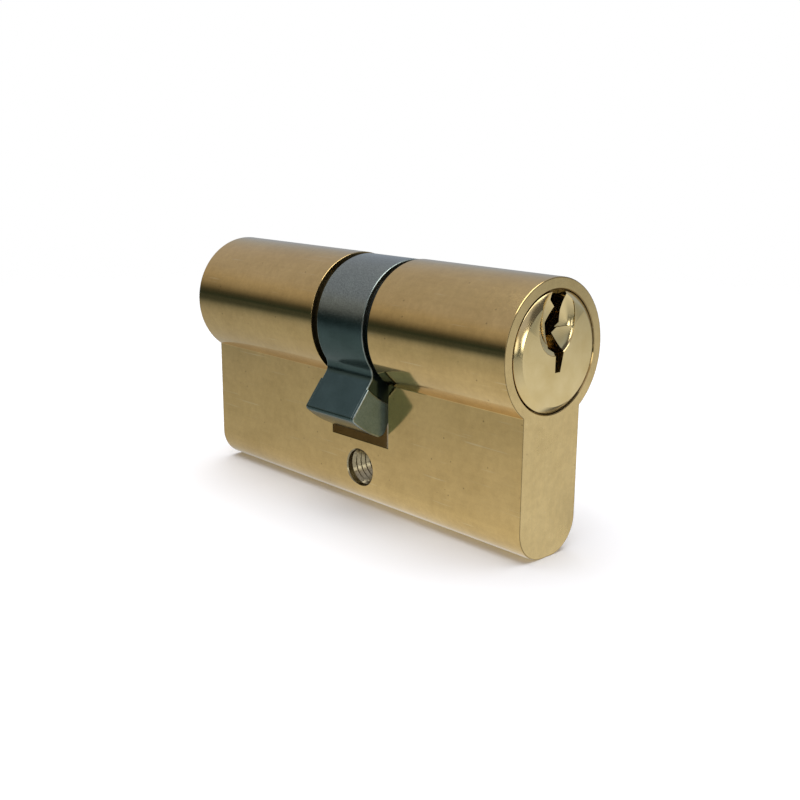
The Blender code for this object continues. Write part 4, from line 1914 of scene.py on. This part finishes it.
@dataclass
class Studio:
    """A pale floor, soft light from above and all round, and the camera."""

    floor_z: float
    floor_radius: float = 260.0
    # The share of that radius that stays plain paper before it starts to fade.
    floor_plain: float = 0.25
    lamp_size: float = 700.0
    lamp_height: float = 600.0
    lamp_power: float = 4.2
    lamp_place: Point = (-50.0, -20.0)
    aim: Place = (2.904, -0.554, 8.969)
    azimuth: float = math.radians(46.73)
    elevation: float = math.radians(14.03)
    roll: float = math.radians(0.43)
    distance: float = 138.45
    lens: float = 47.927
    sensor: float = 36.0
    # Brightness of the surroundings against height, from straight down to straight up.
    front: tuple[tuple[float, str], ...] = (
        (0.0, "#DADADA"),
        (0.456, "#4C5556"),
        (0.509, "#2E3A38"),
        (0.548, "#484A46"),
        (0.578, "#747069"),
        (0.625, "#A09A94"),
        (0.679, "#B4AEAA"),
        (0.75, "#B7B5BE"),
        (0.87, "#B5B5C0"),
        (1.0, "#CDCDD2"),
    )
    back: tuple[tuple[float, str], ...] = (
        (0.0, "#DADADA"),
        (0.49, "#A0A4A6"),
        (0.53, "#A2AAB6"),
        (0.60, "#A8B0BE"),
        (0.8, "#B5B6C2"),
        (1.0, "#CDCDD2"),
    )
    # How far round to the back, from 0 to 1, the light changes from the one to the other.
    back_from: float = 0.1
    back_to: float = 0.5
    # Brightness of the table top against distance from the pool's middle, in millimetres.
    pool: tuple[tuple[float, str], ...] = (
        (0.0, "#E2E2E2"),
        (33.0, "#DEDEDE"),
        (45.0, "#CDCDCD"),
        (58.0, "#C6C6C6"),
        (75.0, "#B7B8B8"),
        (95.0, "#B2B4B4"),
        (126.0, "#ABADAF"),
        (152.0, "#9FA2A5"),
        (182.0, "#8C9093"),
        (206.0, "#7E8386"),
        (262.0, "#5C6365"),
        (350.0, "#434B4B"),
    )
    pool_middle: Place = (30.0, 20.0, 0.0)
    # The same against distance behind, where a pale backdrop lights it.
    behind: tuple[tuple[float, str], ...] = (
        (0.0, "#DEDEDE"),
        (70.0, "#DCDCDC"),
        (130.0, "#BEC0C2"),
        (220.0, "#A2A5A8"),
        (350.0, "#9A9EA2"),
    )
    # The cylinder's own shadow on the table: its middle, and half its length and width.
    shadow_middle: Place = (8.0, 22.0, 0.0)
    shadow_half: Place = (29.0, 18.0, 1.0)
    # The light left in it, and where its edge starts and ends as shares of its size.
    shadow_depth: float = 0.12
    shadow_core: float = 0.7
    shadow_rim: float = 1.15
    table_radius: float = 2000.0
    table_lift: float = 0.01
    # Bright cards that bevels and small edges mirror, and one dark one.
    cards: tuple[Card, ...] = (
        Card((0.70, -0.70, 0.10), 0.962, 0.988, 1.5),
        Card((0.975, -0.15, 0.15), 0.983, 0.99, 4.0),
    )
    dark_card: Card = Card((0.78, 0.3, 0.53), 0.9, 0.945, 0.8)

    def build(self) -> None:
        """Sets up the world, the floor, the lamp and the camera."""
        bpy.context.scene.view_settings.view_transform = "Standard"
        self.add_surroundings()
        self.add_floor()
        self.add_table_light()
        self.add_lamp()
        self.add_camera()

    def add_surroundings(self) -> None:
        """Makes the light that the metal mirrors: a dark room, a pale sheet behind and cards."""
        world = bpy.data.worlds.new("studio")
        bpy.context.scene.world = world
        world.use_nodes = True
        tree = world.node_tree
        tree.nodes.clear()
        direction = add_node(tree, "ShaderNodeTexCoord").outputs["Generated"]
        parts = add_node(tree, "ShaderNodeSeparateXYZ", {"Vector": direction})
        height = add_node(
            tree, "ShaderNodeMapRange", {"Value": parts.outputs["Z"], "From Min": -1.0}
        )
        front = add_ramp(tree, height.outputs["Result"], self.front)
        back = add_ramp(tree, height.outputs["Result"], self.back)
        behind = add_node(
            tree,
            "ShaderNodeMapRange",
            {
                "Value": parts.outputs["Y"],
                "From Min": self.back_from,
                "From Max": self.back_to,
            },
            interpolation_type="SMOOTHSTEP",
        )
        around = add_node(
            tree,
            "ShaderNodeMix",
            {"Factor": behind.outputs["Result"], 6: front, 7: back},
            data_type="RGBA",
        )
        shade = self.spot(tree, direction, self.dark_card)
        lit = add_node(
            tree,
            "ShaderNodeMix",
            {"Factor": shade, 6: around.outputs[2], 7: linear("#000000")},
            data_type="RGBA",
        )
        for card in self.cards:
            lit = add_node(
                tree,
                "ShaderNodeMix",
                {"Factor": 1.0, 6: lit.outputs[2], 7: self.spot(tree, direction, card)},
                data_type="RGBA",
                blend_type="ADD",
            )
        mirrored_light = add_node(tree, "ShaderNodeBackground", {"Color": lit.outputs[2]})
        plain = add_node(tree, "ShaderNodeBackground", {"Color": linear("#FFFFFF")})
        seen = add_node(tree, "ShaderNodeLightPath").outputs["Is Camera Ray"]
        both = add_node(
            tree,
            "ShaderNodeMixShader",
            {0: seen, 1: mirrored_light.outputs["Background"], 2: plain.outputs["Background"]},
        )
        add_node(tree, "ShaderNodeOutputWorld", {"Surface": both.outputs["Shader"]})

    def spot(
        self, tree: bpy.types.NodeTree, direction: bpy.types.NodeSocket, card: Card
    ) -> bpy.types.NodeSocket:
        """The strength of a round soft-edged card.

        Args:
            tree: The world's nodes.
            direction: The direction looked in.
            card: The card.

        Returns:
            Its strength that way.
        """
        facing = add_node(
            tree,
            "ShaderNodeVectorMath",
            {0: direction, 1: Vector(card.direction).normalized()},
            operation="DOT_PRODUCT",
        )
        strength = add_node(
            tree,
            "ShaderNodeMapRange",
            {
                "Value": facing.outputs["Value"],
                "From Min": card.rim,
                "From Max": card.core,
                "To Max": card.strength,
            },
            interpolation_type="SMOOTHSTEP",
        )
        return strength.outputs["Result"]

    def add_floor(self) -> None:
        """Makes the round pale floor. The metal mirrors the surroundings below instead of it."""
        floor = self.disc("floor", self.floor_radius, self.floor_z)
        floor.data.materials.append(self.paper())
        floor.visible_glossy = False

    def add_table_light(self) -> None:
        """Makes the light on the table as the metal mirrors it. The camera doesn't see it."""
        top = self.disc("table_light", self.table_radius, self.floor_z + self.table_lift)
        material, tree, shader = new_material("lit_table_top")
        place = add_node(tree, "ShaderNodeTexCoord").outputs["Object"]
        middle = Vector(self.pool_middle) * MM
        middle.z = (self.floor_z + self.table_lift) * MM
        reach = add_node(tree, "ShaderNodeVectorMath", {0: place, 1: middle}, operation="DISTANCE")
        depth = add_node(tree, "ShaderNodeSeparateXYZ", {"Vector": place}).outputs["Y"]
        near = self.falloff(tree, reach.outputs["Value"], self.pool)
        far = self.falloff(tree, depth, self.behind)
        side = add_node(
            tree,
            "ShaderNodeMapRange",
            {"Value": depth, "From Min": 0.0, "From Max": self.pool_middle[1] * 2 * MM},
            interpolation_type="SMOOTHSTEP",
        )
        mixed = add_node(
            tree,
            "ShaderNodeMix",
            {"Factor": side.outputs["Result"], 6: near, 7: far},
            data_type="RGBA",
        )
        offset = add_node(
            tree,
            "ShaderNodeVectorMath",
            {0: place, 1: Vector(self.shadow_middle) * MM},
            operation="SUBTRACT",
        )
        across = add_node(
            tree,
            "ShaderNodeVectorMath",
            {0: offset.outputs["Vector"], 1: Vector(self.shadow_half) * MM},
            operation="DIVIDE",
        )
        flat = add_node(
            tree,
            "ShaderNodeVectorMath",
            {0: across.outputs["Vector"], 1: (1.0, 1.0, 0.0)},
            operation="MULTIPLY",
        )
        away = add_node(
            tree, "ShaderNodeVectorMath", {0: flat.outputs["Vector"]}, operation="LENGTH"
        )
        shadow = add_node(
            tree,
            "ShaderNodeMapRange",
            {
                "Value": away.outputs["Value"],
                "From Min": self.shadow_core,
                "From Max": self.shadow_rim,
                "To Min": self.shadow_depth,
                "To Max": 1.0,
            },
            interpolation_type="SMOOTHSTEP",
        )
        tree.links.new(mixed.outputs[2], shader.inputs["Emission Color"])
        tree.links.new(shadow.outputs["Result"], shader.inputs["Emission Strength"])
        shader.inputs["Base Color"].default_value = linear("#000000")
        shader.inputs["Specular IOR Level"].default_value = 0.0
        top.data.materials.append(material)
        for ray in ("camera", "diffuse", "shadow", "transmission", "volume_scatter"):
            setattr(top, f"visible_{ray}", False)

    def falloff(
        self,
        tree: bpy.types.NodeTree,
        distance: bpy.types.NodeSocket,
        stops: Sequence[tuple[float, str]],
    ) -> bpy.types.NodeSocket:
        """A colour ramp over a distance.

        Args:
            tree: The node tree.
            distance: The distance in metres.
            stops: Pairs of a distance in millimetres and a colour.

        Returns:
            The colour.
        """
        farthest = stops[-1][0]
        share = add_node(tree, "ShaderNodeMapRange", {"Value": distance, "From Max": farthest * MM})
        return add_ramp(
            tree, share.outputs["Result"], [(place / farthest, code) for place, code in stops]
        )

    def disc(self, name: str, radius: float, height: float) -> bpy.types.Object:
        """A round sheet of the stage, facing up.

        Args:
            name: Its name.
            radius: Its radius in millimetres.
            height: Its height in millimetres.

        Returns:
            The sheet.
        """
        bm = bmesh.new()
        place = Matrix.Translation((0.0, 0.0, height * MM))
        bmesh.ops.create_circle(bm, cap_ends=True, segments=96, radius=radius * MM, matrix=place)
        mesh = bpy.data.meshes.new(name)
        bm.to_mesh(mesh)
        bm.free()
        sheet = object_of(name, mesh)
        sheet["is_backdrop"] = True
        return sheet

    def paper(self) -> bpy.types.Material:
        """White paper, which gives way to the white surroundings well away from the cylinder.

        Returns:
            The material.
        """
        material, tree, shader = new_material("white_paper")
        shader.inputs["Base Color"].default_value = linear("#F8F8F8")
        shader.inputs["Roughness"].default_value = 0.9
        place = add_node(tree, "ShaderNodeTexCoord").outputs["Object"]
        reach = add_node(tree, "ShaderNodeVectorMath", {0: place}, operation="LENGTH")
        fade = add_node(
            tree,
            "ShaderNodeMapRange",
            {
                "Value": reach.outputs["Value"],
                "From Min": self.floor_radius * MM * self.floor_plain,
                "From Max": self.floor_radius * MM,
                "To Min": 1.0,
                "To Max": 0.0,
            },
            interpolation_type="SMOOTHSTEP",
        )
        tree.links.new(fade.outputs["Result"], shader.inputs["Alpha"])
        return material

    def add_lamp(self) -> None:
        """Hangs one large soft lamp above."""
        data = bpy.data.lights.new("overhead_lamp", "AREA")
        data.shape = "SQUARE"
        data.size = self.lamp_size * MM
        data.energy = self.lamp_power
        lamp = bpy.data.objects.new("overhead_lamp", data)
        place = (*self.lamp_place, self.floor_z + self.lamp_height)
        lamp.location = tuple(value * MM for value in place)
        bpy.context.scene.collection.objects.link(lamp)

    def add_camera(self) -> None:
        """Places the camera at the view's angle and distance."""
        back = Vector(
            (
                math.sin(self.azimuth) * math.cos(self.elevation),
                -math.cos(self.azimuth) * math.cos(self.elevation),
                math.sin(self.elevation),
            )
        )
        right = Vector((math.cos(self.azimuth), math.sin(self.azimuth), 0.0))
        up = back.cross(right)
        c, s = math.cos(self.roll), math.sin(self.roll)
        columns = (c * right + s * up, c * up - s * right, back)
        data = bpy.data.cameras.new("camera")
        data.lens = self.lens
        data.sensor_width = self.sensor
        data.clip_start = MM
        camera = bpy.data.objects.new("camera", data)
        place = (Vector(self.aim) + back * self.distance) * MM
        camera.matrix_world = Matrix.Translation(place) @ Matrix(columns).transposed().to_4x4()
        bpy.context.scene.collection.objects.link(camera)
        bpy.context.scene.camera = camera


def main() -> None:
    """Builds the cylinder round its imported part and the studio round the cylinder."""
    logging.basicConfig(level=logging.INFO, format="%(name)s: %(message)s")
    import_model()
    cad_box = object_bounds()
    datum = Datum.of_part(Housing.barrel_radius)
    shop = Workshop(datum.axis_z)
    stacks = PinStacks(datum)
    housing = Housing(datum)
    made = [
        housing.build(shop, {side: stacks.places(side) for side in Side}),
        housing.build_thread(shop),
    ]
    made.append(Cam(datum).build(shop))
    for side in Side:
        made.append(Plug(datum).build(side, shop, stacks.places(side)))
        made.append(Clip(datum).build(side, shop))
        made.append(Clutch(datum).build(side, shop))
        made += stacks.build(side, shop)
    for piece in made:
        LOG.info("%s: %d faces", piece.name, len(piece.data.polygons))
    Studio(floor_z=cad_box[0].z / MM).build()


if __name__ == "__main__":
    main()
